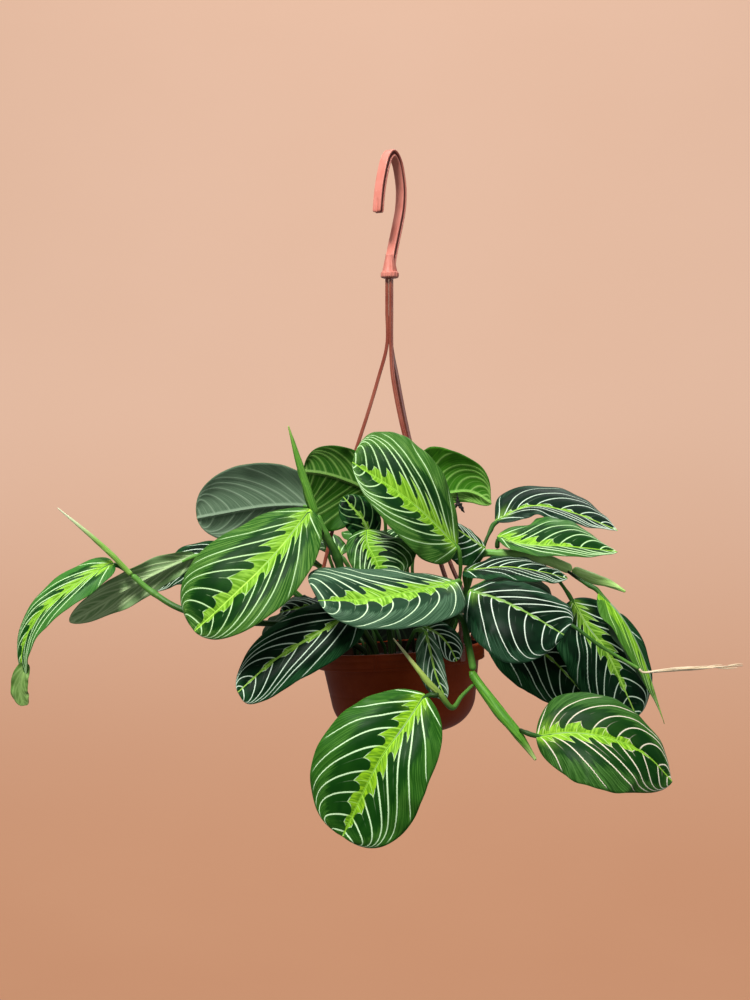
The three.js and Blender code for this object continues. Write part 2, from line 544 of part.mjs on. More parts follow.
const LEAVES = {
  // Seen from the plant's best side.
  leaf_top_centre: {
    stalk: [...rooted(22, -14), [44, -30, -332], [50, -40, -305]],
    midrib: [[47, -46, -291], [23, -56, -267], [3, -58, -251], [-29, -50, -230]],
    faces: [[-0.1, -0.85, 0.5], [-0.1, -0.85, 0.5]],
    widths: [28, 40],
    outlines: [[0.42, 0.45, 0.6, -0.45], [0.62, 0.6, 0.45, 0.45]],
  },
  leaf_left_big: {
    stalk: [besideStem('stem_top', 0.88, [-58, -70, -274]), [-56.5, -58.5, -271]],
    midrib: [[-59, -57, -264], [-85, -76, -297], [-112, -88, -324], [-139, -88, -349]],
    faces: [[-0.2, -0.85, 0.45], [-0.2, -0.85, 0.45]],
    widths: [33, 41],
    outlines: [[0.56, 0.5, 0.55, 0], [0.64, 0.55, 0.45, 0]],
  },
  leaf_centre: {
    stalk: [...rooted(12, -30), [38, -52, -338], [48, -60, -318]],
    midrib: [[45, -64, -315], [15, -82, -321], [-16, -92, -326], [-52, -98, -327]],
    faces: [[-0.1, -0.75, 0.65], [-0.1, -0.75, 0.65]],
    widths: [33, 32],
    outlines: [[0.3, 0.5, 0.8, -0.15], [0.74, 0.75, 0.22, 0.35]],
  },
  leaf_lower_left: {
    stalk: [...rooted(-12, -34), [-16, -46, -345]],
    midrib: [[-21, -52, -334], [-45, -68, -347], [-82, -78, -369], [-109, -84, -392]],
    faces: [[-0.1, -0.9, 0.3], [-0.1, -0.9, 0.3]],
    widths: [24, 23],
    outlines: [[0.35, 0.4, 0.28, 0.25], [0.48, 0.5, 0.6, 0]],
  },
  leaf_front_low: {
    stalk: [besideStem('rolled_leaf_front', 0.47, [28, -102, -392]), [29.5, -100.5, -392.5]],
    midrib: [[22, -98, -392], [6, -112, -414], [-11, -120, -437], [-35, -116, -487]],
    faces: [[-0.1, -0.9, 0.35], [-0.1, -0.9, 0.35]],
    widths: [40, 44],
    outlines: [[0.62, 0.5, 0.4, 0.12], [0.58, 0.5, 0.48, 0.02]],
  },
  leaf_lower_right: {
    stalk: [besideStem('sheath_front', 0.7, [92, -99, -416]), [93, -98, -419]],
    midrib: [[99, -99, -421], [121, -106, -418], [154, -112, -420], [176, -110, -431], [188, -107, -446]],
    faces: [[0.1, -0.8, 0.55], [0.2, -0.8, 0.5]],
    widths: [34, 42],
    outlines: [[0.4, 0.5, 1.1, 0], [0.52, 0.5, 0.75, 0]],
  },
  leaf_right_middle: {
    stalk: [...rooted(38, -14), [57, -34, -345], [60, -46, -328]],
    midrib: [[55, -54, -322], [76, -68, -328], [97, -78, -338], [120, -82, -352]],
    faces: [[0.2, -0.9, 0.3], [0.2, -0.9, 0.3]],
    widths: [22, 41],
    outlines: [[0.8, 0.6, 0.25, 0.1], [0.62, 0.5, 0.5, 0]],
  },
  leaf_right_thin: {
    stalk: [...rooted(36, -18), [54, -28, -325]],
    midrib: [[52, -32, -309], [82, -40, -306], [107, -42, -309], [127, -42, -314]],
    faces: [[0, -0.4, 0.9], [0, -0.4, 0.9]],
    widths: [18, 20],
    outlines: [[0.4, 0.3, 0.55, 0], [0.4, 0.3, 0.55, 0]],
  },
  leaf_right_top: {
    stalk: [besideStem('stem_right', 0.55, [72, -4, -285]), [71, -2, -286]],
    midrib: [[78, 8, -273], [105, 14, -262], [137, 12, -267], [170, 4, -280]],
    faces: [[0, -0.5, 0.87], [0, -0.5, 0.87]],
    widths: [34, 16],
    outlines: [[0.42, 0.85, 1.2, 0], [0.4, 0.5, 0.8, 0]],
  },
  leaf_right_upper: {
    stalk: [besideStem('stem_right', 0.62, [76, -15, -288])],
    midrib: [[78, -15, -284], [97, -24, -290], [126, -30, -291], [165, -30, -295]],
    faces: [[0, -0.6, 0.8], [0, -0.6, 0.8]],
    widths: [36, 12],
    outlines: [[0.38, 0.5, 1.2, 0], [0.5, 0.5, 0.6, 0]],
  },
  leaf_right_far: {
    stalk: [besideStem('stem_right', 0.98, [136, -26, -316]), [141, -28, -318]],
    midrib: [[152, -34, -324], [168, -44, -344], [182, -47, -372], [197, -46, -419]],
    faces: [[0.7, 0, 0.7], [0.9, 0, 0.2]],
    widths: [18, 18],
    outlines: [[0.3, 0.5, 0.9, 0], [0.3, 0.5, 0.9, 0]],
    lift: [-62, -66],
  },
  leaf_right_outer: {
    stalk: [besideStem('stem_right', 0.86, [122, -20, -316]), [124, -18, -318]],
    midrib: [[133, -18, -331], [145, -24, -352], [158, -28, -370], [179, -30, -416]],
    faces: [[0.2, -0.9, 0.2], [0.2, -0.9, 0.2]],
    widths: [30, 34],
  },
  leaf_right_lower: {
    stalk: [...rooted(40, 8), [62, 10, -348]],
    midrib: [[70, 10, -341], [95, 7, -361], [120, 5, -377], [148, 4, -407]],
    faces: [[0.2, -0.9, 0.2], [0.2, -0.9, 0.2]],
    widths: [28, 33],
    outlines: [[0.48, 0.5, 0.55, 0], [0.52, 0.75, 0.5, 0]],
  },
  leaf_left_top: {
    stalk: [...rooted(-24, 8), [-44, 10, -310]],
    midrib: [[-57, 8, -263], [-76, 8, -261], [-103, 8, -263], [-147, 8, -271]],
    faces: [[-0.1, 0.95, 0.2], [-0.1, 0.95, 0.2]],
    widths: [35, 28],
    outlines: [[0.5, 0.45, 0.42, 0], [0.5, 0.5, 0.5, 0]],
  },
  leaf_back_centre_left: {
    stalk: [...rooted(-8, 4), [-6, -4, -310], [-5, -7, -275]],
    midrib: [[-10, -9, -254], [-31, -12, -244], [-50, -14, -238], [-66, -14, -236]],
    faces: [[-0.1, 0.95, 0.2], [-0.1, 0.95, 0.2]],
    widths: [24, 38],
    outlines: [[0.55, 0.5, 0.4, 0], [0.55, 0.5, 0.45, 0]],
  },
  leaf_back_right: {
    stalk: [...rooted(10, 12), [12, 22, -310], [13, 24, -275]],
    midrib: [[16, 27, -256], [37, 30, -253], [60, 34, -251], [77, 34, -260]],
    faces: [[0, 0.95, 0.3], [0, 0.95, 0.3]],
    widths: [9, 39],
    outlines: [[0.6, 0.5, 0.5, 0], [0.28, 0.4, 1.1, 0]],
  },
  leaf_left_far: {
    stalk: [besideStem('stem_left', 0.93, [-188, -20, -316]), [-193, -28.5, -311]],
    midrib: [
      [-205, -27, -303], [-224, -34, -314], [-247, -38, -331],
      [-261, -38, -346], [-270, -36, -370], [-267, -30, -405],
    ],
    faces: [[-0.4, -0.8, 0.4], [-0.8, -0.5, 0]],
    widths: [16, 16],
    outlines: [[0.35, 0.35, 0.5, 0], [0.3, 0.35, 0.5, 0]],
  },
  leaf_left_outer: {
    stalk: [...rooted(-34, 2), [-80, -8, -322], [-120, -16, -300]],
    midrib: [[-145, -20, -298], [-171, -24, -310], [-203, -22, -327], [-238, -22, -347]],
    faces: [[0.2, 0.9, 0.4], [0.2, 0.9, 0.4]],
    widths: [13, 13],
  },
  leaf_left_behind: {
    stalk: [...rooted(-34, 12), [-80, 4, -320]],
    midrib: [[-112, -2, -301], [-140, 0, -299], [-163, 2, -309], [-181, 2, -324]],
    faces: [[-0.2, -0.7, 0.7], [-0.2, -0.7, 0.7]],
    widths: [20, 16],
  },
  leaf_left_inner: {
    stalk: [...rooted(-22, -4), [-34, -18, -338]],
    midrib: [[-41, -30, -331], [-54, -44, -334], [-67, -50, -335], [-81, -52, -338]],
    faces: [[-0.2, -0.7, 0.7], [-0.2, -0.7, 0.7]],
    widths: [15, 14],
  },
  leaf_front_folded: {
    stalk: [...rooted(4, -44), [16, -66, -350]],
    midrib: [[23, -76, -350], [26, -82, -363], [30, -85, -380], [37, -84, -397]],
    faces: [[0.2, -0.9, 0.1], [0.2, -0.9, 0.1]],
    widths: [8, 12],
  },
  leaf_front_small: {
    stalk: [...rooted(14, -42), [20, -56, -352]],
    midrib: [[24, -64, -348], [33, -70, -353], [40, -74, -361], [45, -75, -371]],
    faces: [[0.2, -0.9, 0.2], [0.2, -0.9, 0.2]],
    widths: [11, 11],
  },
  leaf_centre_small: {
    stalk: [...rooted(-6, -12), [-16, -26, -300]],
    midrib: [[-19, -32, -279], [-18, -40, -290], [-12, -46, -302], [-6, -50, -318]],
    faces: [[0.1, -0.9, 0.3], [0.1, -0.9, 0.3]],
    widths: [34, 18],
  },
  leaf_centre_young: {
    stalk: [...rooted(-8, -4), [-12, -16, -305]],
    midrib: [[-15, -20, -286], [-22, -24, -271], [-30, -24, -262], [-36, -22, -255]],
    faces: [[0, -0.9, 0.3], [0, -0.9, 0.3]],
    widths: [14, 14],
  },
  leaf_right_edge: {
    stalk: [besideStem('stem_right', 0.47, [70, -22, -298])],
    midrib: [[69, -18, -293], [57, -22, -285], [47, -24, -278], [40, -22, -272]],
    faces: [[0, -0.8, 0.6], [0, -0.8, 0.6]],
    widths: [26, 6],
  },
  // At the back.
  leaf_back_low: {
    stalk: [...rooted(0, 40), [2, 56, -350]],
    midrib: [[2, 66, -345], [0, 95, -358], [-4, 116, -392], [-6, 122, -436]],
    faces: [[0, 0.6, 0.8], [0, 1, 0.1]],
    widths: [33, 34],
  },
  leaf_back_left_low: {
    stalk: [...rooted(-28, 30), [-44, 46, -345]],
    midrib: [[-52, 54, -340], [-70, 76, -346], [-84, 90, -362], [-92, 96, -386]],
    faces: [[-0.4, 0.5, 0.8], [-0.6, 0.7, 0.4]],
    widths: [27, 28],
  },
  leaf_back_left: {
    stalk: [...rooted(-32, 20), [-46, 36, -325]],
    midrib: [[-54, 42, -308], [-78, 58, -300], [-100, 70, -301], [-122, 76, -312]],
    faces: [[-0.2, 0.5, 0.9], [-0.3, 0.5, 0.8]],
    widths: [28, 30],
  },
  leaf_back_middle: {
    stalk: [...rooted(-4, 26), [-6, 38, -318]],
    midrib: [[-7, 46, -300], [-10, 66, -287], [-14, 88, -284], [-18, 110, -292]],
    faces: [[0, -0.2, 1], [0, 0.2, 1]],
    widths: [28, 28],
  },
  leaf_back_right_low: {
    stalk: [...rooted(28, 32), [40, 46, -345]],
    midrib: [[46, 54, -338], [64, 74, -338], [80, 88, -346], [92, 94, -362]],
    faces: [[0.3, 0.5, 0.8], [0.5, 0.7, 0.5]],
    widths: [28, 26],
  },
  leaf_back_right_side: {
    stalk: [...rooted(38, 20), [52, 30, -340]],
    midrib: [[60, 34, -326], [86, 40, -320], [110, 44, -327], [126, 44, -344]],
    faces: [[0.2, 0.3, 0.9], [0.4, 0.4, 0.8]],
    widths: [24, 24],
  },
  leaf_back_upper: {
    stalk: [...rooted(14, 24), [16, 34, -310]],
    midrib: [[18, 42, -290], [24, 62, -275], [28, 84, -271], [30, 106, -280]],
    faces: [[0, -0.1, 1], [0, 0.3, 1]],
    widths: [22, 22],
  },
  leaf_back_left_upper: {
    stalk: [...rooted(-18, 24), [-28, 34, -318]],
    midrib: [[-39, 42, -300], [-60, 58, -284], [-77, 72, -280], [-92, 86, -288]],
    faces: [[-0.1, 0, 1], [-0.2, 0.3, 1]],
    widths: [26, 26],
  },
};

// ---- the whole ----------------------------------------------------------------------------

addMesh('hanger_hook', hookGeometry(), 'hanger');
for (const leg of LEGS) addMesh(leg.name, legGeometry(leg), 'hanger');
addMesh('pot', potGeometry(), 'pot', potFrame);
addMesh('soil', soilGeometry(), 'soil', potFrame);
for (const [name, stem] of Object.entries(stems)) addMesh(name, stemGeometry(stem), stem.finish);
for (const [name, leaf] of Object.entries(LEAVES)) addMesh(name, leafGeometry(leaf), 'leaf');

export default model;
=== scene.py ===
"""A prayer plant (maranta) in a small hanging pot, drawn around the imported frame.

Lengths in this script are millimetres until a mesh is made, and +Z is up.
"""

import itertools
import math

import bpy
import numpy as np
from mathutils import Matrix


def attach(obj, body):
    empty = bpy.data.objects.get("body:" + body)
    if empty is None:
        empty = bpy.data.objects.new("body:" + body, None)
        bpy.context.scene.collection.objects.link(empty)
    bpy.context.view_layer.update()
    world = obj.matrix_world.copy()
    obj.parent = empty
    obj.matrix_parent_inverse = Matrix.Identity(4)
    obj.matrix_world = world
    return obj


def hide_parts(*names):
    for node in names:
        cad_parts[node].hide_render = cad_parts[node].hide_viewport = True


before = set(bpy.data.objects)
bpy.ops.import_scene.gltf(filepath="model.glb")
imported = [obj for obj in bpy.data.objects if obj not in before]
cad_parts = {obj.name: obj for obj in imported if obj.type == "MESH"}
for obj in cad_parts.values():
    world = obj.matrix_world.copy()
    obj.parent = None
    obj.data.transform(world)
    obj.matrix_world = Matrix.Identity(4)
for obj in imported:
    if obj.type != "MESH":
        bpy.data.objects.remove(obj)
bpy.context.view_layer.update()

MM = 0.001


# ---- numbers and curves ----


def unit(v):
    return v / np.maximum(np.linalg.norm(v, axis=-1, keepdims=True), 1e-12)


def heading(degrees):
    """The level direction at an angle from +X."""
    return np.array([math.cos(math.radians(degrees)), math.sin(math.radians(degrees)), 0])


def circle(count):
    """The angles of evenly spaced points round a circle."""
    return np.arange(count) * 2 * np.pi / count


def evenly(values, share):
    """The value at a share of the way, with the values spread evenly."""
    return np.interp(share, np.linspace(0, 1, len(values)), values)


def smooth(low, high, x):
    t = np.clip((x - low) / (high - low), 0, 1)
    return t * t * (3 - 2 * t)


def ripples(x, y, wavelength, seed, waves=9):
    """A soft random height from -1 to 1 over a plane."""
    rng = np.random.default_rng(seed)
    total = 0
    for _ in range(waves):
        turn, shift = rng.uniform(0, 2 * np.pi, 2)
        length = wavelength / rng.uniform(0.6, 1.7)
        total = total + np.sin((x * np.cos(turn) + y * np.sin(turn)) * 2 * np.pi / length + shift)
    return total / waves * 1.8


class Curve:
    """A smooth curve through points, read by its share of the length."""

    STEPS = 60

    def __init__(self, points):
        p = np.array(points, float)
        p = np.vstack([2 * p[0] - p[1], p, 2 * p[-1] - p[-2]])
        spans = len(points) - 1
        t = np.linspace(0, spans, spans * self.STEPS + 1)
        k = np.minimum(t.astype(int), spans - 1)
        u = (t - k)[:, None]
        a, b, c, d = (p[k + i] for i in range(4))
        cubic = (2 * a - 5 * b + 4 * c - d) * u**2 + (3 * b - a - 3 * c + d) * u**3
        self.places = (2 * b + (c - a) * u + cubic) / 2
        steps = np.linalg.norm(np.diff(self.places, axis=0), axis=1)
        self.length = steps.sum()
        self.shares = np.append(0, np.cumsum(steps)) / self.length

    def at(self, share):
        return np.stack([np.interp(share, self.shares, self.places[:, i]) for i in range(3)], -1)

    def direction(self, share):
        return unit(self.at(np.minimum(share + 0.004, 1)) - self.at(np.maximum(share - 0.004, 0)))

    def point_shares(self):
        return self.shares[:: self.STEPS]


# ---- meshes ----


def link(name, data):
    made = bpy.data.objects.new(name, data)
    bpy.context.scene.collection.objects.link(made)
    return made


class Body:
    """Collects the closed shells of one piece."""

    def __init__(self):
        self.vertices, self.groups, self.count = [], [], 0

    def add(self, vertices, faces, material=0, data=None):
        """faces is an array of vertex numbers; data gives each corner (u, v, phase, spacing, aside)."""
        self.vertices.append(np.asarray(vertices, float).reshape(-1, 3))
        self.groups.append((np.asarray(faces) + self.count, material, data))
        self.count += len(self.vertices[-1])

    def more(self, faces, material=0, data=None):
        """More faces on the vertices of the last add."""
        self.groups.append((np.asarray(faces) + self.count - len(self.vertices[-1]), material, data))

    def rings(self, rings, material=0, closed_ends=True, marks=None, same=None):
        """A tube through rings of points. marks gives each point of a ring a number to shade by, and
        same gives all corners of its side the same data."""
        n, m = rings.shape[:2]
        index = np.arange(n * m).reshape(n, m)
        a, b = index[:-1], index[1:]
        faces = np.stack([a, np.roll(a, -1, 1), np.roll(b, -1, 1), b], -1).reshape(-1, 4)
        along = np.repeat(np.linspace(0, 1, n)[:, None], m + 1, 1)
        around = np.repeat(np.linspace(0, 1, m + 1)[None], n, 0)
        mark = 0 * along if marks is None else np.repeat(np.append(marks, marks[0])[None], n, 0)
        grid = np.stack([along, around, mark, 0 * along, 0 * along], -1)
        data = np.stack([grid[:-1, :-1], grid[:-1, 1:], grid[1:, 1:], grid[1:, :-1]], 2).reshape(-1, 5)
        if same:
            data[:] = same
        centres = np.stack([rings[0].mean(0), rings[-1].mean(0)])
        self.add(np.vstack([rings.reshape(-1, 3), centres]), faces, material, data)
        if closed_ends:
            first, last = index[0], index[-1]
            top = np.stack([np.full(m, n * m + 1), last, np.roll(last, -1)], -1)
            bottom = np.stack([np.full(m, n * m), np.roll(first, -1), first], -1)
            self.more(np.vstack([bottom, top]), np.max(material))

    def mesh(self, name, materials):
        mesh = bpy.data.meshes.new(name)
        vertices = np.vstack(self.vertices) * MM
        corners = np.concatenate([f.ravel() for f, _, _ in self.groups])
        sizes = np.concatenate([np.full(len(f), f.shape[1]) for f, _, _ in self.groups])
        kinds = np.concatenate([np.broadcast_to(m, len(f)) for f, m, _ in self.groups])
        data = np.vstack([np.zeros((f.size, 5)) if d is None else d for f, _, d in self.groups])
        mesh.vertices.add(len(vertices))
        mesh.loops.add(len(corners))
        mesh.polygons.add(len(sizes))
        mesh.vertices.foreach_set("co", vertices.astype(np.float32).ravel())
        mesh.loops.foreach_set("vertex_index", corners.astype(np.int32))
        mesh.polygons.foreach_set("loop_start", (np.cumsum(sizes) - sizes).astype(np.int32))
        mesh.polygons.foreach_set("loop_total", sizes.astype(np.int32))
        mesh.polygons.foreach_set("material_index", kinds.astype(np.int32))
        mesh.polygons.foreach_set("use_smooth", np.ones(len(sizes), bool))
        mesh.uv_layers.new(name="leaf_uv").data.foreach_set("uv", data[:, :2].astype(np.float32).ravel())
        lines = mesh.attributes.new("leaf_lines", "FLOAT_VECTOR", "CORNER")
        lines.data.foreach_set("vector", data[:, 2:].astype(np.float32).ravel())
        mesh.update(calc_edges=True)
        mesh.validate()
        for material in materials:
            mesh.materials.append(material)
        return mesh

    def piece(self, name, materials, slot, *nodes):
        """The finished piece, riding on the plant and standing for CAD nodes."""
        piece = link(name, self.mesh(name, materials))
        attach(piece, "root")
        if nodes:
            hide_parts(*nodes)
        return piece


# Stations in a tube's rounded end, in radii from the end.
ROUNDED = np.array([0.03, 0.2, 0.5, 0.9])


def carried(line, stations, first):
    """Places on a line and two directions across it at each, carried along without a twist."""
    places, directions = line.at(stations), line.direction(stations)
    side, sides = np.array(first, float), []
    for direction in directions:
        side = unit(side - side @ direction * direction)
        sides.append(side)
    return places, np.array(sides), np.cross(directions, sides)


def tube(line, radii, sides=14, step=1.6, first=(0.3, 1, 0.2), shares=None, form=None):
    """Rings round a line, with rounded ends. form(share, angle) scales the radius."""
    start, reach = (ROUNDED * end / line.length for end in (radii[0], radii[-1]))
    s = np.linspace(0, 1, max(8, int(line.length / step)))
    s = np.unique(np.concatenate([[0], start, s[(s > start[-1]) & (s < 1 - reach[-1])], 1 - reach, [1]]))
    r = evenly(radii, s) if shares is None else np.interp(s, shares, radii)
    for gap, radius in ((s, radii[0]), (1 - s, radii[-1])):
        r = r * np.sqrt(1 - np.clip(1 - gap * line.length / radius - 0.03, 0, 1) ** 2)
    places, side, normal = carried(line, s, first)
    angle = circle(sides)
    scale = r[:, None] * (1 if form is None else form(s[:, None], angle[None]))
    cos, sin = np.cos(angle)[None, :, None], np.sin(angle)[None, :, None]
    return places[:, None] + scale[..., None] * (cos * side[:, None] + sin * normal[:, None])


def lathe(outline, count):
    """Rings of a turned shape: the outline runs from the axis round to the axis again."""
    radius, height = np.array(outline, float).T[:, :, None]
    angle = -circle(count)
    return np.stack([radius * np.cos(angle), radius * np.sin(angle), np.repeat(height, count, 1)], -1)


# ---- materials ----


def rgb(code):
    """A colour from its usual hex code, in Blender's linear values."""
    values = [int(code[i:i + 2], 16) / 255 for i in (1, 3, 5)]
    return [v / 12.92 if v <= 0.04045 else ((v + 0.055) / 1.055) ** 2.4 for v in values] + [1]


class Value:
    """A number that a material's nodes work out, to reckon with."""

    def __init__(self, shader, socket):
        self.shader, self.socket = shader, socket

    def math(self, operation, *others):
        return self.shader.value(self.shader.node("Math", self, *others, operation=operation))

    def __add__(self, other):
        return self.math("ADD", other)

    def __sub__(self, other):
        return self.math("SUBTRACT", other)

    def __rsub__(self, other):
        return self.math("MULTIPLY_ADD", -1.0, other)

    def __mul__(self, other):
        return self.math("MULTIPLY", other)

    def __truediv__(self, other):
        return self.math("DIVIDE", other)

    def __abs__(self):
        return self.math("ABSOLUTE")

    def step(self, low, high, first=0.0, last=1.0):
        """Goes smoothly from first to last as the number goes from low to high."""
        node = self.shader.node("MapRange", self, low, high, first, last, interpolation_type="SMOOTHSTEP")
        return self.shader.value(node)


class Shader:
    """Writes one material's nodes."""

    def __init__(self, name):
        self.material = bpy.data.materials.new(name)
        self.material.use_nodes = True
        self.tree = self.material.node_tree
        self.out = self.tree.nodes["Principled BSDF"]

    def node(self, kind, *inputs, **settings):
        node = self.tree.nodes.new("ShaderNode" + kind)
        for key, value in settings.items():
            setattr(node, key, value)
        for socket, value in zip(node.inputs, inputs):
            self.put(socket, value)
        return node

    def value(self, node, output=0):
        return Value(self, node.outputs[output])

    def put(self, socket, value):
        if isinstance(value, Value):
            self.tree.links.new(value.socket, socket)
        elif isinstance(value, str):
            socket.default_value = rgb(value)
        elif isinstance(value, tuple):
            self.put(socket, self.value(self.node("CombineXYZ", *value)))
        else:
            socket.default_value = value

    def fill(self, node, **inputs):
        for name, value in inputs.items():
            self.put(node.inputs[name], value)

    def mix(self, share, a, b):
        node = self.node("Mix", data_type="RGBA")
        for socket, value in zip((node.inputs[0], node.inputs[6], node.inputs[7]), (share, a, b)):
            self.put(socket, value)
        return self.value(node, 2)

    def layers(self, colour, *layers):
        """Lays (share, colour) pairs over a colour, one after the other."""
        for share, over in layers:
            colour = self.mix(share, colour, over)
        return colour

    def split(self, vector):
        node = self.node("SeparateXYZ", vector)
        return [self.value(node, i) for i in range(3)]

    def noise(self, vector, scale=1.0, detail=2.0, roughness=0.5):
        node = self.node("TexNoise")
        self.fill(node, Vector=vector, Scale=scale, Detail=detail, Roughness=roughness)
        return self.value(node)

    def place(self):
        return self.value(self.node("TexCoord"), "Object")

    def stretched(self, turn, scale):
        """The place, turned and stretched, for a grain that runs one way."""
        node = self.node("Mapping", self.place())
        node.inputs["Rotation"].default_value, node.inputs["Scale"].default_value = turn, scale
        return self.value(node)

    def uv(self):
        return self.split(self.value(self.node("UVMap", uv_map="leaf_uv")))[:2]

    def lines(self):
        return self.split(self.value(self.node("Attribute", attribute_name="leaf_lines"), "Vector"))

    def curve(self, x, points):
        node = self.node("FloatCurve")
        self.put(node.inputs["Value"], x)
        curve = node.mapping.curves[0]
        node.mapping.extend = "HORIZONTAL"
        for i, (a, b) in enumerate(points):
            point = curve.points[i] if i < 2 else curve.points.new(a, b)
            point.location = (a, b)
        for point in curve.points:
            point.handle_type = "VECTOR"
        node.mapping.update()
        return self.value(node)

    def finish(self, colour, roughness, height, strength, distance, shine=None):
        self.put(self.out.inputs["Base Color"], colour)
        self.put(self.out.inputs["Roughness"], roughness)
        if shine is not None:
            self.out.inputs["Specular IOR Level"].default_value = shine
        bump = self.node("Bump")
        self.fill(bump, Strength=strength, Distance=distance, Height=height)
        self.put(self.out.inputs["Normal"], self.value(bump))
        return self.material


# How far the lime band reaches, between one vein and the next towards the tip.
TOOTH = [(0, 0.17), (0.2, 0.205), (0.42, 0.255), (0.5, 0.19), (0.62, 0.125), (0.8, 0.085), (0.94, 0.09),
         (1, 0.15)]
# How the band narrows from the blade's base to its tip.
TEETH_ALONG = [(0, 1.0), (0.08, 0.72), (0.2, 0.56), (0.5, 0.5), (0.75, 0.42), (0.9, 0.28), (1, 0.1)]


def leaf_lines(n, seed):
    """What a leaf's material reads: the shares along and across, the veins' running number and its
    fraction, and three distances: between veins, from the midrib and from the nearest vein."""
    s, v = n.uv()
    a = abs(v * 2.0 - 1.0)
    phase, spacing, aside = n.lines()
    phase = phase + (n.noise((phase * 1.3, a * 2.0, seed)) * 0.09 - 0.045)
    f = phase.math("FRACT")
    return s, a, phase, f, spacing, aside, f.math("MINIMUM", 1.0 - f) * spacing


def leaf_top(name, seed=0, teeth=1.0, lime="#88ba30", lime_deep="#5c9018", vein="#bfe2a8", dark="#0b330b",
             mid="#265a1a", pale="#548438", reach=0.6, vein_width=0.45, hair=0.35, rib="#9cd044",
             rib_line="#4f8a1a", light=0.5, along=TEETH_ALONG):
    n = Shader(name)
    s, a, phase, f, spacing, aside, near = leaf_lines(n, seed)
    fine = n.noise((phase * 26.0, a * 2.2, seed), 1.0, 3.0, 0.65)
    coarse = n.noise((phase * 7.0, a * 1.6, seed + 3.1))
    cloud = n.noise((s * 5.0, a * 3.0, seed + 7.7))

    # The ground: mid green with fine streaks, dark between the veins out to a ragged line, and pale patches
    # along that line that are a painted sheen.
    edge = (coarse + fine * 0.6) * 0.42 + (reach - 0.34)
    inside = (a - edge).step(0.035, -0.035) * s.step(0.03, 0.16) * s.step(0.99, 0.9)
    sheen_patch = abs(a - edge - 0.07).step(0.11, 0.01) * fine.step(0.45, 0.68)
    ground = n.layers(
        n.mix(fine.step(0.4, 0.74), mid, pale),
        (fine.step(0.38, 0.6, 0.35, 0.0), dark),
        (sheen_patch * light, pale),
        (inside, n.mix(cloud.step(0.35, 0.7, 0.0, 0.35), dark, mid)),
    )

    # The lime band with its teeth, one between each two veins.
    ragged = n.noise((phase * 9.0, a * 30.0, seed))
    outside = a - (n.curve(f, TOOTH) * n.curve(s, along) * (2.0 * teeth) + (ragged * 0.022 - 0.011))
    band = n.mix(n.noise((phase * 11.0, a * 5.0, seed + 1.0)).step(0.36, 0.66), lime_deep, lime)
    rim = abs(outside).step(0.013, 0.003) * f.step(0.16, 0.3) * f.step(0.66, 0.52)
    second = abs(f - 0.42) * spacing
    hairline = second.step(0.3, 0.1) * outside.step(0.3, 0.05) * cloud.step(0.45, 0.55, 0.0, hair)
    ground = n.layers(
        ground,
        (s.step(0.2, 0.0, 0.0, 0.75) * a.step(0.6, 0.2), band),
        (outside.step(0.006, -0.006), band),
        (rim * 0.75, vein),
        (second.step(0.42, 0.14) * outside.step(0.02, -0.01) * 0.8, rib),
        (hairline, vein),
    )

    # The veins and the midrib.
    width = (1.0 - a * a * 0.62) * vein_width
    lit = (near - width).step(0.16, -0.16) * a.step(0.975, 0.9)
    across = aside / (1.0 - s * 0.55)
    ground = n.layers(
        ground,
        (near.step(width + 0.9, width) * a.step(0.97, 0.8, 0.0, 0.3), pale),
        (lit, n.mix(outside.step(0.06, -0.03), vein, rib)),
        (across.step(1.25, 0.85), rib),
        (across.step(0.45, 0.2), rib_line),
        (a.step(0.985, 1.0, 0.0, 0.5), pale),
    )

    height = fine * 0.5 + lit * 0.55 + n.noise(n.place(), 900.0) * 0.16
    return n.finish(ground, fine * 0.22 + lit * 0.08 + 0.3, height, 0.5, 0.00035, 0.06)


def leaf_under(name, seed=0, ground="#5a7657", deep="#48654a", vein="#93b184"):
    n = Shader(name)
    s, a, phase, f, spacing, aside, near = leaf_lines(n, seed)
    fine = n.noise((phase * 20.0, a * 2.2, seed), 1.0, 3.0, 0.6)
    cloud = n.noise((s * 4.0, a * 2.0, seed + 2.0))
    lit = near.step(0.62, 0.3) * a.step(0.97, 0.88, 0.0, 0.6)
    colour = n.layers(
        n.mix(fine.step(0.3, 0.7), deep, ground),
        (cloud.step(0.3, 0.75, 0.0, 0.5), deep),
        ((abs(f - 0.5) * spacing).step(0.5, 0.15) * a.step(0.9, 0.2, 0.0, 0.3), vein),
        (near.step(1.5, 0.4) * a.step(0.98, 0.85, 0.0, 0.35), vein),
        (lit, vein),
        (aside.step(2.2, 1.0, 0.0, 0.8), vein),
    )
    return n.finish(colour, fine * 0.2 + 0.4, fine * 0.5 + lit * 1.2, 0.5, 0.0004, 0.15)


def stalk_material(name, middle="#2c5a1e", high="#62a03a", joint="#4c6a26", until=0.45):
    n = Shader(name)
    s, v = n.uv()
    ribs = n.noise((s * 1.5, v * 22.0, 1.0))
    spots = n.noise(n.place(), 260.0, 3.0, 0.6)
    # Nearly black at the foot, near the soil: painted shade down among the stalks.
    colour = n.layers(
        "#10180a",
        (s.step(0.08, until), middle),
        (s.step(until, 0.95), high),
        (ribs.step(0.4, 0.7, 0.0, 0.4), joint),
        (spots.step(0.5, 0.75, 0.0, 0.35) * s.step(until, 0.9), "#8fb558"),
    )
    return n.finish(colour, spots * 0.25 + 0.32, ribs + spots * 0.3, 0.3, 0.0003, 0.2)


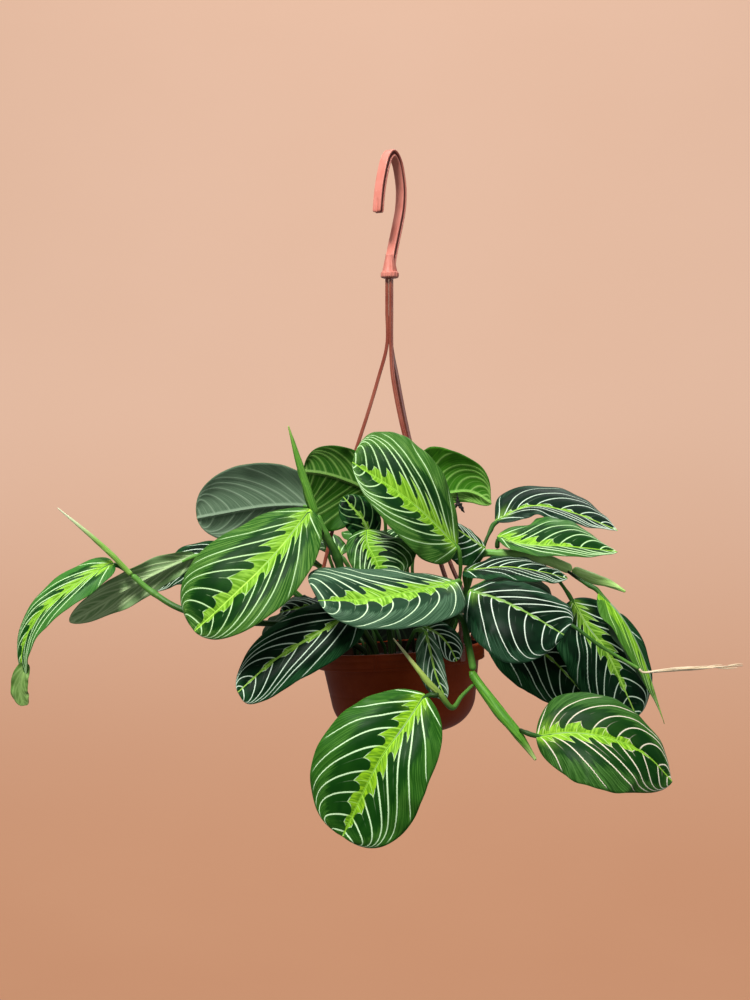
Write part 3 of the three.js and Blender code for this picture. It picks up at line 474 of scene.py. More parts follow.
def young_material(name, ground, streak, tip, tip_from=0.75, foot=None, until=0.0):
    n = Shader(name)
    s, v = n.uv()
    ribs = n.noise((s * 3.0, v * 26.0, 4.0), 1.0, 3.0, 0.6)
    spots = n.noise(n.place(), 180.0, 3.0)
    colour = n.layers(
        streak,
        (ribs.step(0.38, 0.68), ground),
        (spots.step(0.5, 0.8, 0.0, 0.5), streak),
        (s.step(tip_from, 1.0), tip),
    )
    if foot:
        colour = n.mix(s.step(until - 0.2, until + 0.1), foot, colour)
    return n.finish(colour, ribs * 0.2 + 0.35, ribs + spots * 0.3, 0.35, 0.0004, 0.22)


def plastic(name, ground, worn, dust, rough, dusty=0.4, shine=0.3, groove=None):
    """Injection-moulded plastic: slightly mottled, scuffed, with dust, and painted darker in its grooves as
    shade.
    """
    n = Shader(name)
    mottle = n.noise(n.place(), 45.0, 3.0, 0.6)
    scuff = n.noise(n.stretched((0.3, 0.2, 0.9), (1.0, 6.0, 0.8)), 160.0, 3.0)
    grain = n.noise(n.place(), 1400.0)
    specks = n.noise(n.place(), 520.0, 2.0, 0.7)
    colour = n.layers(
        ground,
        (mottle.step(0.3, 0.75), worn),
        (scuff.step(0.58, 0.74, 0.0, 0.35), worn),
        (specks.step(0.62, 0.74) * dusty, dust),
    )
    # Painted shade: the marked recesses take the darker groove colour.
    if groove:
        colour = n.mix(n.lines()[0], colour, groove)
    roughness = scuff * 0.3 + grain * 0.12 + (rough - 0.2)
    return n.finish(colour, roughness, scuff * 0.5 + grain * 0.25, 0.25, 0.0002, shine)


def soil_material(name, low="#0d0906", high="#3a2718"):
    n = Shader(name)
    clods = n.noise(n.place(), 320.0, 4.0, 0.65)
    fibre = n.noise(n.stretched((0.4, 0.7, 0.3), (1.0, 7.0, 1.0)), 210.0, 3.0)
    colour = n.layers(low, (clods.step(0.35, 0.7), high), (fibre.step(0.6, 0.75, 0.0, 0.6), "#5e4227"))
    return n.finish(colour, clods * 0.3 + 0.65, clods + fibre, 0.9, 0.0012)


# ---- the pot and the soil ----

POT_PLACE, POT_TILT = (6, 0, -367), math.radians(-4)
POT_HEIGHT, POT_WALL, RIM_RADIUS, RIM_HEIGHT = 63, 1.6, 63, 12
WALL_TOP_RADIUS, WALL_TAPER, CORNER_RADIUS = 58.3, math.radians(9), 27
DRAIN_RADIUS, DRAINS_AT, CLIP_HOLE_RADIUS, CLIP_HOLE_HEIGHT = 3.5, 21, 2.0, -5.5
SOIL_BELOW_RIM, SOIL_CROWN, FOOT_LIFT, CRUMBS = 9, 2.5, 0.6, 520
# What parts neighbouring pieces that rest on each other.
GAP = 0.3


def from_pot(points):
    """Points measured from the middle of the pot's rim, put where the hanging pot has them."""
    x, y, z = np.moveaxis(np.asarray(points, float), -1, 0)
    cos, sin = math.cos(POT_TILT), math.sin(POT_TILT)
    return np.stack([x * cos + z * sin, y, z * cos - x * sin], -1) + POT_PLACE


def wall_radius(height):
    return WALL_TOP_RADIUS + (height + RIM_HEIGHT) * math.tan(WALL_TAPER)


def foot_outline(inset, steps=16):
    """The rounded corner at the bottom of the wall, from the base up."""
    bottom, radius = -POT_HEIGHT + inset, CORNER_RADIUS - inset
    turn = math.pi / 2 - WALL_TAPER
    flat = wall_radius(bottom) - inset / math.cos(WALL_TAPER) - radius * math.tan(turn / 2)
    angles = [turn * i / steps for i in range(steps + 1)]
    return [(flat + radius * math.sin(t), bottom + radius * (1 - math.cos(t))) for t in angles]


def rooted(x, y):
    """The foot of a stalk on the soil, and a point straight above it."""
    rise = SOIL_CROWN * (1 - math.hypot(x, y) / wall_radius(-SOIL_BELOW_RIM))
    foot = from_pot((x, y, -SOIL_BELOW_RIM + rise + FOOT_LIFT))
    return [foot, foot + (0, 0, 9)]


def cylinder(radius, length, place, axis, count=24):
    """A closed cylinder's rings, centred on place."""
    side = unit(np.cross(axis, (0.2, 0.3, 1) if abs(axis[2]) < 0.8 else (1, 0.2, 0)))
    angle = circle(count)[:, None]
    ring = place + radius * (np.cos(angle) * side + np.sin(angle) * np.cross(axis, side))
    return np.stack([ring - axis * length / 2, ring + axis * length / 2])


def build_pot(material, inside_shade):
    def wall(*heights):
        return [(wall_radius(h), h) for h in heights]

    # From the middle of the base out, up the wall, round the rim and back down the inside.
    outline = [(0, -62.2), (14, -62.2), (14.6, -63), (16.2, -63), (16.8, -62.2), (25.4, -62.2), (26, -62.9)]
    outline += [(r, h) for r, h in foot_outline(0) if r > 26.6] + wall(-34, -32.6)
    outline += [(wall_radius(-32) - 0.25, -32)] + wall(-31.4, -24, -15.5, -15, -2)
    outline += [(RIM_RADIUS - inset, h) for inset, h in (
        (1.9, -2.2), (1.7, -6), (2, -11.3), (1.6, -11.9), (0.9, -12), (0.4, -11.6), (0.4, -10.2),
        (0.62, -9.8), (0.35, -9.4), (0.2, -5.2), (0.42, -4.8), (0.17, -4.4), (0, -1.3), (0.15, -0.6),
        (0.6, -0.12), (1.2, 0))]
    top = wall_radius(0) - POT_WALL
    outline += [(top + 0.7, 0), (top + 0.15, -0.2)]
    first_inside = len(outline)
    outline += [(top, -0.8), (wall_radius(-20) - 1.62, -20)] + foot_outline(POT_WALL)[::-1] + [(0, -61.4)]
    rings = lathe([(max(r, 0.4), h) for r, h in outline], 160)
    # The inside faces take the second material, a near-black painted shade inside the pot.
    inside = np.arange(len(outline) - 1) >= first_inside
    body = Body()
    body.rings(from_pot(rings), np.repeat(inside, 160).astype(int))
    pot = body.piece("pot_visual", [material, inside_shade], "pot_plastic", "pot")

    # The drainage holes in the base and the clips' holes in the rim.
    holes = Body()
    for i in range(6):
        place = DRAINS_AT * heading(60 * i) + (0, 0, -62)
        holes.rings(from_pot(cylinder(DRAIN_RADIUS, 12, place, np.array([0, 0, 1]))))
    for azimuth, _, _ in LEGS.values():
        out = heading(azimuth)
        holes.rings(from_pot(cylinder(CLIP_HOLE_RADIUS, 14, 57.3 * out + (0, 0, CLIP_HOLE_HEIGHT), out)))
    cutter = link("cutter", holes.mesh("cutter", []))
    cut = pot.modifiers.new("holes", "BOOLEAN")
    cut.object, cut.operation, cut.solver = cutter, "DIFFERENCE", "EXACT"
    bpy.context.view_layer.update()
    mesh = bpy.data.meshes.new_from_object(pot.evaluated_get(bpy.context.evaluated_depsgraph_get()))
    pot.modifiers.clear()
    pot.data = mesh
    bpy.data.objects.remove(cutter)

    # Moulding ribs: pairs on the skirt, and a star of low ribs under the base.
    ribs = Body()
    for azimuth in (-106.6, -46, 14, 74, 134, 194):
        for lean in (-1.3, 1.3):
            out = heading(azimuth + lean)
            line = Curve([from_pot((RIM_RADIUS - inset) * out + (0, 0, h))
                          for inset, h in ((0.05, -1.4), (0.2, -5), (0.35, -8.5), (0.5, -11.6))])
            ribs.rings(tube(line, [0.5, 0.5], 8, 1.2))
    for i in range(6):
        line = Curve([from_pot(r * heading(60 * i + 30) + (0, 0, -62.35)) for r in (5, 9, 13)])
        ribs.rings(tube(line, [0.6, 0.6], 8, 1.5))
    ribs.piece("pot_ribs", [material], "pot_plastic")


def build_soil(material, bark):
    inset = POT_WALL + GAP
    edge = wall_radius(-SOIL_BELOW_RIM) - inset / math.cos(WALL_TAPER)
    outline = [(0.4, -POT_HEIGHT + inset), *foot_outline(inset, 8), (edge, -SOIL_BELOW_RIM - 1.2)]
    rings = list(lathe(outline, 96))
    for share in np.linspace(1, 0.01, 34):
        ring = lathe([(edge * share, 0)], 96)[0]
        bumpy = ripples(ring[:, 0], ring[:, 1], 9, 5) * 0.5 + ripples(ring[:, 0], ring[:, 1], 3.5, 6) * 0.35
        ring[:, 2] = -SOIL_BELOW_RIM + SOIL_CROWN * (1 - share) + (bumpy - 0.3) * min(1, (1 - share) * 12)
        rings.append(ring)
    body = Body()
    body.rings(from_pot(np.array(rings)))

    # Crumbs: squashed twenty-sided lumps, a few of them bits of bark.
    golden = (1 + 5**0.5) / 2
    corners = unit(np.array([np.roll((a, b * golden, 0), turn)
                             for turn in range(3) for a in (-1, 1) for b in (-1, 1)]))
    faces = [f for f in itertools.combinations(range(12), 3)
             if max(np.linalg.norm(corners[i] - corners[j]) for i, j in itertools.combinations(f, 2)) < 1.1]
    faces = np.array([f if np.linalg.det(corners[list(f)]) > 0 else (f[0], f[2], f[1]) for f in faces])
    rng = np.random.default_rng(11)
    for i in range(CRUMBS):
        radius, turn = (edge - 2) * math.sqrt(rng.uniform()), rng.uniform(0, 2 * np.pi)
        size = rng.uniform(0.5, 1.6) * np.array([1, rng.uniform(0.5, 1), rng.uniform(0.5, 0.9)])
        crumb = corners * size * rng.uniform(0.75, 1.2, (12, 1))
        cos, sin = math.cos(turn * 5), math.sin(turn * 5)
        crumb = crumb @ np.array([[cos, sin, 0], [-sin, cos, 0], [0, 0, 1]])
        height = -SOIL_BELOW_RIM + SOIL_CROWN * (1 - radius / edge) + 0.1
        crumb = crumb + (radius * math.cos(turn), radius * math.sin(turn), height)
        body.add(from_pot(crumb), faces, 1 if i % 37 == 0 else 0)
    body.piece("soil_visual", [material, bark], "potting_mix", "soil")


# ---- the hanger ----

HOOK_TURN, HOOK_STEM = math.radians(236), np.array([-1.7, -2.5, 0])
HOOK_WIDTH, HOOK_THICKNESS, CHANNEL_DEPTH, TIP_GROOVE = 7, 5.2, 1.5, 0.7
FOOT_TOP, FOOT_LENGTH, COLLAR_TOP, COLLAR_LENGTH = -73.5, 13.6, -86.5, 4.6
LEG_RADIUS, BUNDLE_RADIUS, STUD_RADIUS, STUD_LENGTH = 1.36, 2.1, 1.6, 5
TAB_WIDTH, TAB_THICKNESS, TAB_TOP, TAB_BOTTOM, TAB_ROUNDING = 5.6, 2.2, 3, -10, 0.8
# The hook's middle line from its tip, as distance from the stem and height.
HOOK_LINE = [
    (15.7, -44), (14.2, -32.8), (11.8, -21.7), (7.8, -9.6), (3.2, -0.7), (-3.1, 2.7), (-9.9, -3),
    (-14, -13.7), (-15.8, -25), (-14.4, -38.2), (-10.7, -50.3), (-6.4, -62.2), (-2.4, -74.1), (0, -83),
]
# Each leg: where it clips to the pot, where it leaves the bundle under the collar, and its way down.
LEGS = {
    "left": (180, 180, [
        (-10.5, -2.5, -167), (-18.6, -2.5, -194), (-26.4, -2.5, -218), (-38.5, -2, -258), (-49, -1, -298)]),
    "front": (-47, -60, [
        (0.8, -7, -166), (6.4, -13, -197), (12.5, -19, -221), (24, -29, -262), (36, -38, -306)]),
    "back": (28, 60, [(4, 1.5, -166), (10, 5, -197), (16, 9, -221), (30, 17, -262), (45, 24, -306)]),
}


def on_hook(points):
    """Points of the hook lying along +X, turned to its own direction."""
    x, y, z = np.moveaxis(points, -1, 0)
    cos, sin = math.cos(HOOK_TURN), math.sin(HOOK_TURN)
    return np.stack([x * cos - y * sin, x * sin + y * cos, z], -1) + HOOK_STEM


def hook_section(groove):
    """A channelled band's outline, across and outwards: its right half, then the mirror of that."""
    x, y = HOOK_WIDTH / 2, HOOK_THICKNESS / 2
    corner = [(0.55 * (1 - math.cos(t)), 0.55 * (1 - math.sin(t))) for t in (0, 0.4, 0.8, 1.2, math.pi / 2)]
    deep = x - CHANNEL_DEPTH
    right = [(0, -y)] + [(x - b, -y + a) for a, b in corner]
    right += [(x, -1.5), (x - 0.25, -1.3), (deep + 0.2, -1.05), (deep, -0.8)]
    right += [(deep, 0.8), (deep + 0.2, 1.05), (x - 0.25, 1.3), (x, 1.5)]
    right += [(x - a, y - b) for a, b in corner] + [(0.75, y), (0.45, y - groove), (0, y - groove)]
    return np.array(right + [(-a, b) for a, b in right[-2:0:-1]])


def level_ring(radius, angle, height, squash=1.0):
    x, y = radius * np.cos(angle), radius * np.sin(angle) * squash
    return np.stack([x, y, np.full(len(angle), height)], -1)


def build_hook(material):
    line = Curve([(a, 0, h) for a, h in HOOK_LINE])
    rings = []
    for share in np.concatenate([[0, 0.002, 0.006, 0.012, 0.02], np.linspace(0.028, 1, 150)]):
        direction = line.direction(share)
        outward = np.array([direction[2], 0, -direction[0]])
        section = hook_section(TIP_GROOVE * (1 - smooth(0.055, 0.075, share)))
        section = section * (1 - 0.16 * max(0, 1 - share * line.length / 1.6) ** 2)
        rings.append(line.at(share) + section[:, :1] * np.array([0, 1, 0]) + section[:, 1:] * outward)
    body = Body()
    across, outward = hook_section(0).T
    # The channel's faces are marked for the darker groove colour, painted shade in the recess.
    shaded_channel = (np.abs(across) < 2.3) & (np.abs(outward) < 1.2)
    body.rings(on_hook(np.array(rings)[::-1]), marks=shaded_channel)

    # The foot widens into the beaded collar, with ribs down its sides.
    angle = circle(96)
    foot = []
    for t in np.linspace(0, 1, 22):
        ribs = 0.45 * smooth(0.1, 0.5, t) * np.maximum(0, np.cos(angle * 6)) ** 3
        foot.append(level_ring(3.3 + 2.4 * t**1.4 + ribs, angle, FOOT_TOP - FOOT_LENGTH * t, 0.94))
    body.rings(on_hook(np.array(foot)[::-1]))
    collar = []
    for t in np.linspace(0, 1, 15):
        bulge = math.sqrt(max(0, 1 - (2 * t - 1) ** 4))
        beads = 0.5 * np.abs(np.sin(angle * 7)) ** 0.7
        collar.append(level_ring(5.5 + (0.85 + beads) * bulge, angle, COLLAR_TOP - COLLAR_LENGTH * t))
    body.rings(on_hook(np.array(collar)[::-1]))
    body.piece("hook_visual", [material], "hook_plastic", "hanger_hook")


def build_leg(name, azimuth, bundle, way, material):
    out, side = heading(azimuth), heading(azimuth + 90)
    outside = RIM_RADIUS + GAP + TAB_THICKNESS / 2
    stem = HOOK_STEM + BUNDLE_RADIUS * heading(bundle)
    line = Curve([*(stem + (0, 0, h) for h in (-88, -115, -141)), *np.array(way, float),
                  *(from_pot(out * outside + (0, 0, h)) for h in (22, 8, 0))])

    def grooved(share, angle):
        square = (np.abs(np.cos(angle)) ** 5 + np.abs(np.sin(angle)) ** 5) ** -0.2
        return square * (1 - 0.3 * np.exp(-((np.abs(np.cos(angle)) - 1) / 0.06) ** 2)) + 0 * share

    body = Body()
    radii = [LEG_RADIUS - 0.04, LEG_RADIUS, LEG_RADIUS]
    body.rings(tube(line, radii, 36, 2.4, out + (0, 0, 0.1), form=grooved))
    # The tab that clips over the rim, with its stud and a small grip at the top.
    tab, rounded = [], np.array([0, 0.04, 0.3, 0.8])
    cos, sin = np.cos(circle(32))[:, None], np.sin(circle(32))[:, None]
    square = (np.abs(cos) ** 6 + np.abs(sin) ** 6) ** (-1 / 6)
    for h in np.concatenate([TAB_TOP - rounded, np.linspace(1.5, -8.5, 9), TAB_BOTTOM + rounded[::-1]]):
        short = max(0, TAB_ROUNDING - min(TAB_TOP - h, h - TAB_BOTTOM))
        inset = TAB_ROUNDING - math.sqrt(max(0, TAB_ROUNDING**2 - short**2))
        flare = 1 + 0.12 * (h < -6) * (h + 6) / 4
        across = (TAB_WIDTH / 2 - inset) * cos * square * flare
        outwards = outside + (TAB_THICKNESS / 2 - inset * 0.6) * sin * square
        tab.append(out * outwards + side * across + (0, 0, h))
    body.rings(from_pot(tab))
    stud = out * (RIM_RADIUS + GAP - 1.5) + (0, 0, CLIP_HOLE_HEIGHT)
    body.rings(from_pot(cylinder(STUD_RADIUS, STUD_LENGTH, stud, out)))
    for h in (-1, 0.4, 1.8):
        face = out * (outside + TAB_THICKNESS / 2 - 0.05) + (0, 0, h)
        grip = Curve([face + side * w for w in (-1.7, 0, 1.7)])
        body.rings(from_pot(tube(grip, [0.32, 0.32], 8, 0.6)))
    body.piece(f"hanger_leg_{name}_visual", [material], "leg_plastic", f"hanger_leg_{name}")


# ---- stems, sheaths, rolled leaves and the flower ----

STEMS = {}


def grow(name, radii, points):
    STEMS[name] = (radii, Curve(points))


def after(name):
    """Two points that carry on from a stem's end, clear of it."""
    line = STEMS[name][1]
    direction = unit(line.places[-1] - line.places[-2])
    return [line.at(1) + direction * reach for reach in (GAP, GAP + 5)]


def beside(name, share, target):
    """The start of what grows from a stem's side, on the side that looks towards the target."""
    radii, line = STEMS[name]
    middle, direction = line.at(share), line.direction(share)
    out = target - middle
    out = unit(out - out @ direction * direction)
    return [middle + out * (evenly(radii, share) + FOOT_LIFT)]


grow("stem_front", [2.4, 2.4, 2.3, 2.3, 2.3, 2.6],
     [*rooted(24, -26), (39, -46, -344), (49, -60, -341), (53, -68, -357), (57, -72, -378)])
grow("sheath_front", [3.0, 3.6, 4.2, 3.6, 1.0],
     [*after("stem_front"), (74, -84, -405), (87, -92, -421), (99, -96, -438)])
grow("rolled_leaf_front", [1.1, 1.5, 2.4, 2.2, 2.0, 0.4],
     [*beside("sheath_front", 0.12, (46, -84, -398)), (48, -84, -395), (41, -92, -402), (33, -95.5, -393),
      (22, -96, -381), (0, -86, -354)])
grow("stem_right", [2.3, 2.3, 2.2, 2.4, 3.2, 4.0, 3.8],
     [*rooted(32, -4), (54, -8, -328), (64, -10, -300), (81, -14, -297), (109, -16, -300), (133, -16, -309)])
grow("sheath_right", [3.6, 4.3, 4.0, 2.8, 0.8],
     [*after("stem_right"), (148, -18, -315), (160, -20, -319), (172, -22, -325)])
grow("flower_stalk", [1.5, 1.5, 1.4, 1.4, 1.3, 1.2, 1.1],
     [*rooted(44, -8), (72, -20, -342), (96, -34, -337), (126, -48, -346), (149, -56, -362),
      (176, -59, -378)])
grow("flower_bract", [1.2, 1.5, 1.6, 1.0, 0.4],
     [*after("flower_stalk"), (196, -59, -379), (213, -58, -378), (251, -57, -376)])
grow("stem_left", [2.4, 2.4, 2.4, 2.2, 2.2, 2.2, 2.0],
     [*rooted(-30, -14), (-62, -30, -350), (-100, -44, -346), (-148, -45, -338), (-174, -38, -325),
      (-190, -35, -312)])
grow("rolled_leaf_left", [1.9, 2.1, 1.8, 1.3, 0.4],
     [*after("stem_left"), (-205, -34.5, -297), (-222, -34, -282), (-245, -32, -263)])
grow("stem_top", [2.6, 2.6, 2.8, 3.2, 3.2, 2.8],
     [*rooted(-20, -24), (-31, -38, -335), (-40, -46, -299), (-49, -49, -282), (-55, -52, -268)])
grow("rolled_leaf_top", [2.7, 3.0, 2.9, 2.2, 0.5],
     [*after("stem_top"), (-61, -53.5, -250), (-67, -54, -232), (-75, -54, -204)])


# The ground, the streaks and the tip of each young piece, where the tip begins, and a greener foot.
YOUNG_LOOKS = {
    "sheath_front": ("#6aa636", "#447e20", "#c4e088"),
    "rolled_leaf_front": ("#a9b85c", "#8aa448", "#d8d3a6", 0.65, "#4c7a2c", 0.5),
    "sheath_right": ("#d0f49c", "#acdc74", "#94cc5c"),
    "rolled_leaf_left": ("#93be5c", "#6fa03a", "#d8dcb8", 0.4),
    "rolled_leaf_top": ("#74a83e", "#4c8428", "#9cc05c"),
}


def crumpled(share, angle):
    return (0.75 + 0.2 * np.cos(angle * 2 + share * 9)) * (1 + 0.1 * np.cos(angle * 5 + share * 30))


def pinched(share, angle):
    return 0.45 + 0.65 * np.abs(np.cos(angle)) + 0 * share


def build_stems(green, pale, young, dry):
    for name, (radii, line) in STEMS.items():
        shares = line.point_shares()
        radius = evenly(radii, shares)
        body = Body()
        if name.startswith(("stem", "flower_stalk")):
            knots = shares[2:-1]

            def ribbed(share, angle, knots=knots, length=line.length):
                swell = sum(0.16 * np.exp(-(((share - k) * length) / 3) ** 2) for k in knots)
                return 1 + 0.035 * np.cos(angle * 7) + swell

            body.rings(tube(line, radius, 28, 1.2, shares=shares, form=ribbed))
            for knot in knots:
                collar = Curve([line.at(knot + d / line.length) for d in (-1.2, 0, 1.2)])
                size = np.interp(knot, shares, radius) * 1.22
                body.rings(tube(collar, [size * 0.9, size, size * 0.86], 28, 0.5))
            slot, material = "green_stem", pale if name == "stem_right" else green
        elif name == "flower_bract":
            body.rings(tube(line, radius, 20, 1.0, shares=shares, form=crumpled))
            rng = np.random.default_rng(3)
            for i in range(9):
                start = 0.06 + 0.1 * i
                reach = rng.uniform(9, 17) / line.length
                out = unit(np.cross(line.direction(start), rng.normal(size=3))) * rng.uniform(0.7, 1.2)
                scale = Curve([line.at(start) + out * 0.6, line.at(start + reach * 0.5) + out * 1.2,
                               line.at(min(start + reach, 1.0)) + out * rng.uniform(1.0, 1.8)])
                body.rings(tube(scale, [0.5, 0.75, 0.15], 10, 1.0, form=pinched))
            slot, material = "dry_bract", dry
        else:
            turns = 1.4 if name.startswith("rolled") else 0.6

            def wrapped(share, angle, turns=turns):
                lap = (angle / (2 * np.pi) + share * turns) % 1
                return 0.9 + 0.16 * lap + 0.02 * np.cos(angle * 9 + share * 20)

            body.rings(tube(line, radius, 48, 1.0, shares=shares, form=wrapped))
            slot, material = "young_sheath", young[name]
        body.piece(name + "_visual", [material], slot, name)


# ---- leaves ----

LEAVES = {}
# A half of a blade: its widest place, how full it is at the base and at the tip, and its lean forwards.
USUAL = (0.48, 0.5, 0.55, 0)
# Points over each half of a blade, and along it.
ACROSS, ALONG = 26, 120
HALF_THICKNESS, STALK_RADIUS, JOINT_RADIUS, JOINT_LENGTH = 0.24, 1.3, 1.85, 9.5
# Where on the midrib a vein starts, and where along the blade it reaches the margin.
VEIN_FROM = [0, 0.03, 0.06, 0.13, 0.24, 0.395, 0.55, 0.727, 0.83, 1]
VEIN_TO = [0.02, 0.16, 0.3, 0.5, 0.7, 0.83, 0.9, 0.958, 0.985, 1]
# Places along the raised midrib under a blade, its radius at each, and the data its corners give.
RIB_AT = np.array([0.03, 0.1, 0.2, 0.35, 0.5, 0.65, 0.8, 0.92])
RIB_RADIUS = np.array([1.5, 1.0, 0.85, 0.72, 0.6, 0.48, 0.38, 0.22])
RIB_SHADING = (0.5, 0.5, 0.5, 9, 1.6)


def vein_grid(s, a, count, seed, power, arch, sweep):
    """The veins' running number over the blade: whole on a vein, from the base to the tip."""
    rng = np.random.default_rng(seed)
    x = (np.arange(1, count + 1) + rng.uniform(-0.13, 0.13, count)) / (count + 1)
    starts = (3 * x**2 - 2 * x**3) ** power
    w = np.linspace(0, 1, 400)
    number = np.interp(w, [0, *starts, 1], [0.5, *range(1, count + 1), count + 0.5])
    ends = 1 - (1 - np.interp(w, VEIN_FROM, VEIN_TO)) ** sweep
    return np.stack([np.interp(s, w + (ends - w) * share**arch, number) for share in a], 1)


def measured(number, aside, part):
    """The veins' coordinates at each point of half a blade, with their spacing in millimetres."""
    ns, na = np.gradient(number, axis=0), np.gradient(number, axis=1)
    ps, pa = np.gradient(part, axis=0), np.gradient(part, axis=1)
    e, f, g = (ps * ps).sum(-1), (ps * pa).sum(-1), (pa * pa).sum(-1)
    slope = (g * ns**2 - 2 * f * ns * na + e * na**2) / np.maximum(e * g - f * f, 1e-9)
    return np.stack([number, 1 / np.sqrt(np.maximum(slope, 1e-4)), aside], -1)


def half_width(outline, s):
    widest, base, tip, _ = outline
    away = np.where(s < widest, (widest - s) / widest, (s - widest) / (1 - widest))
    return np.maximum(1 - away**2, 0) ** np.where(s < widest, base, tip)


def squares(grid, reverse=False):
    """The four corners of each square of a grid, taken one way round or the other."""
    corners = np.stack([grid[:-1, :-1], grid[1:, :-1], grid[1:, 1:], grid[:-1, 1:]], 2)
    return corners[:, :, ::-1] if reverse else corners


def build_leaf(name, materials, stalk, midrib, widths, faces, outlines, lift=(12, -14), veins=8, power=1.2,
               ruffle=0.8, flow=((1.35, 1.9), (1.35, 1.9))):
    seed = sum(ord(c) * (i + 1) for i, c in enumerate(name))
    rng = np.random.default_rng(seed)
    blade = Curve(midrib)
    s = np.linspace(0, 1, ALONG)
    s = 0.35 * s + 0.65 * (0.5 - 0.5 * np.cos(np.pi * s))
    place, direction = blade.at(s), blade.direction(s)
    first, last = unit(np.array(faces, float))
    normal = first * (1 - s[:, None]) + last * s[:, None]
    normal = unit(normal - (normal * direction).sum(1, keepdims=True) * direction)
    side = np.cross(normal, direction)

    # Each half rises from the midrib by the lift's first angle and reaches the margin by its second.
    a = np.linspace(0, 1, ACROSS + 1) ** 1.35
    rise = np.radians(lift[0] + (lift[1] - lift[0]) * smooth(0.2, 0.8, a))
    run = np.append(0, np.cumsum(np.cos((rise[1:] + rise[:-1]) / 2) * np.diff(a)))
    up = np.append(0, np.cumsum(np.sin((rise[1:] + rise[:-1]) / 2) * np.diff(a)))
    halves, marks = [], []
    for hand, width, outline, run_on in zip((1, -1), widths, outlines, flow):
        wide = np.maximum(width * half_width(outline, s), np.where(s < 0.5, 1.2, 0.12))[:, None]
        number = vein_grid(s, a, veins, seed + hand, power, *run_on)
        # A ruffled margin, skin puffed up between the veins, a slow sway and a groove on the midrib.
        waves, shift = rng.uniform(2.2, 3.6, 2) * (1, 1.9), rng.uniform(0, 2 * np.pi, 3)
        wave = np.sin(2 * np.pi * waves[0] * s + shift[0]) + 0.6 * np.sin(2 * np.pi * waves[1] * s + shift[1])
        wave = ruffle * wave[:, None] * a**2.5 * np.minimum(1, wide / 14)
        puff = 0.5 * np.sqrt(np.abs(np.sin(np.pi * number))) * np.sin(np.pi * np.clip(a, 0.03, 0.97)) ** 0.6
        sway = 0.9 * np.sin(2 * np.pi * s + shift[2])[:, None] * a
        groove = 0.45 * np.exp(-((wide * a / 1.3) ** 2))
        height = wide * up + wave + (puff + sway) * np.minimum(1, wide / 20) - groove
        halves.append(place[:, None] + side[:, None] * (hand * wide * run)[..., None]
                      + direction[:, None] * (wide * outline[3] * a)[..., None]
                      + normal[:, None] * height[..., None])
        marks.append(measured(number, wide * a, halves[-1]))

    # The blade's middle surface, from the right margin to the left one, and its two faces.
    surface = np.concatenate([halves[1][:, :0:-1], halves[0]], 1)
    out = np.cross(np.gradient(surface, axis=0), np.gradient(surface, axis=1))
    out[0], out[-1] = out[1], out[-2]
    out = unit(out)
    out = out * np.sign((out * normal[:, None]).sum(-1, keepdims=True))
    v = np.concatenate([-a[:0:-1], a])
    thick = HALF_THICKNESS * (1 - 0.55 * np.abs(v) ** 6)[None, :, None]
    rows, columns = surface.shape[:2]
    index = np.arange(rows * columns).reshape(rows, columns)
    body = Body()
    body.add(np.stack([surface + out * thick, surface - out * thick]), np.zeros((0, 4), int))

    # The two halves' veins differ at the midrib, so there each half's faces take its own marks.
    uv = np.stack([np.repeat(s[:, None], columns, 1), np.repeat((v[None] + 1) / 2, rows, 0)], -1)
    with_left = np.concatenate([uv, np.concatenate([marks[1][:, :0:-1], marks[0]], 1)], -1)
    with_right = np.concatenate([uv, np.concatenate([marks[1][:, ::-1], marks[0][:, 1:]], 1)], -1)
    for span, grid in ((slice(0, ACROSS), with_right), (slice(ACROSS, None), with_left)):
        for material in (0, 1):
            quads, data = (squares(part, reverse=material)[:, span] for part in (index, grid))
            body.more(quads.reshape(-1, 4) + material * rows * columns, material, data.reshape(-1, 5))
    loop = np.concatenate([index[:, 0], index[-1, 1:], index[-2::-1, -1], index[0, -2:0:-1]])
    ahead = np.roll(loop, -1)
    margin = np.stack([ahead, loop, loop + rows * columns, ahead + rows * columns], -1)
    body.more(margin, 0, with_left.reshape(-1, 5)[margin % (rows * columns)].reshape(-1, 5))

    # The midrib under the blade, and the stalk with its thick joint, which ends inside the midrib.
    facing = np.stack([np.interp(RIB_AT, s, normal[:, i]) for i in range(3)], -1)
    rib = blade.at(RIB_AT) - facing * (RIB_RADIUS[:, None] * 0.6 + 0.35)
    body.rings(tube(Curve(rib[1:]), RIB_RADIUS[1:], 10, 2.0), 1, same=RIB_SHADING)
    way = Curve([*stalk, midrib[0]])
    low = np.linspace(0, max(0.5, 1 - 4 / way.length), max(6, int(way.length / 14)))
    radii = np.where((1 - low) * way.length < JOINT_LENGTH, JOINT_RADIUS, STALK_RADIUS)
    radii[0] = 1.0
    line = Curve([*way.at(low), *rib[:3]])
    body.rings(tube(line, [*radii, 1.5, 1.0, 0.6], 12, 1.8, shares=line.point_shares()), 2)
    body.piece(name + "_visual", materials, "leaf_blade", *([name] if name in LEAVES else []))


def leaf(name, root, stalk, midrib, widths, faces, outlines=(USUAL, USUAL), top=None, under=None, **form):
    """Notes a leaf: where its stalk starts and how it goes on, its midrib, its two half widths, the way
    it faces at its base and at its tip, and its two sides' looks where they differ from the usual ones."""
    ends = [faces, faces] if isinstance(faces, tuple) else faces
    shape = dict(stalk=[*root, *stalk], midrib=midrib, widths=widths, faces=ends, outlines=outlines, **form)
    LEAVES["leaf_" + name] = (shape, top, under)


# Darker looks for leaves that lie in shade: their darkness is painted shade.
DARK = dict(dark="#04170a", mid="#0f3a1a", pale="#2a5230", vein="#cfe3cc", lime="#84b532",
            lime_deep="#4f8020", rib="#a4cf58", teeth=0.42, vein_width=0.39, light=0.3, reach=0.75,
            rib_line="#6a9a3a", hair=0.1)

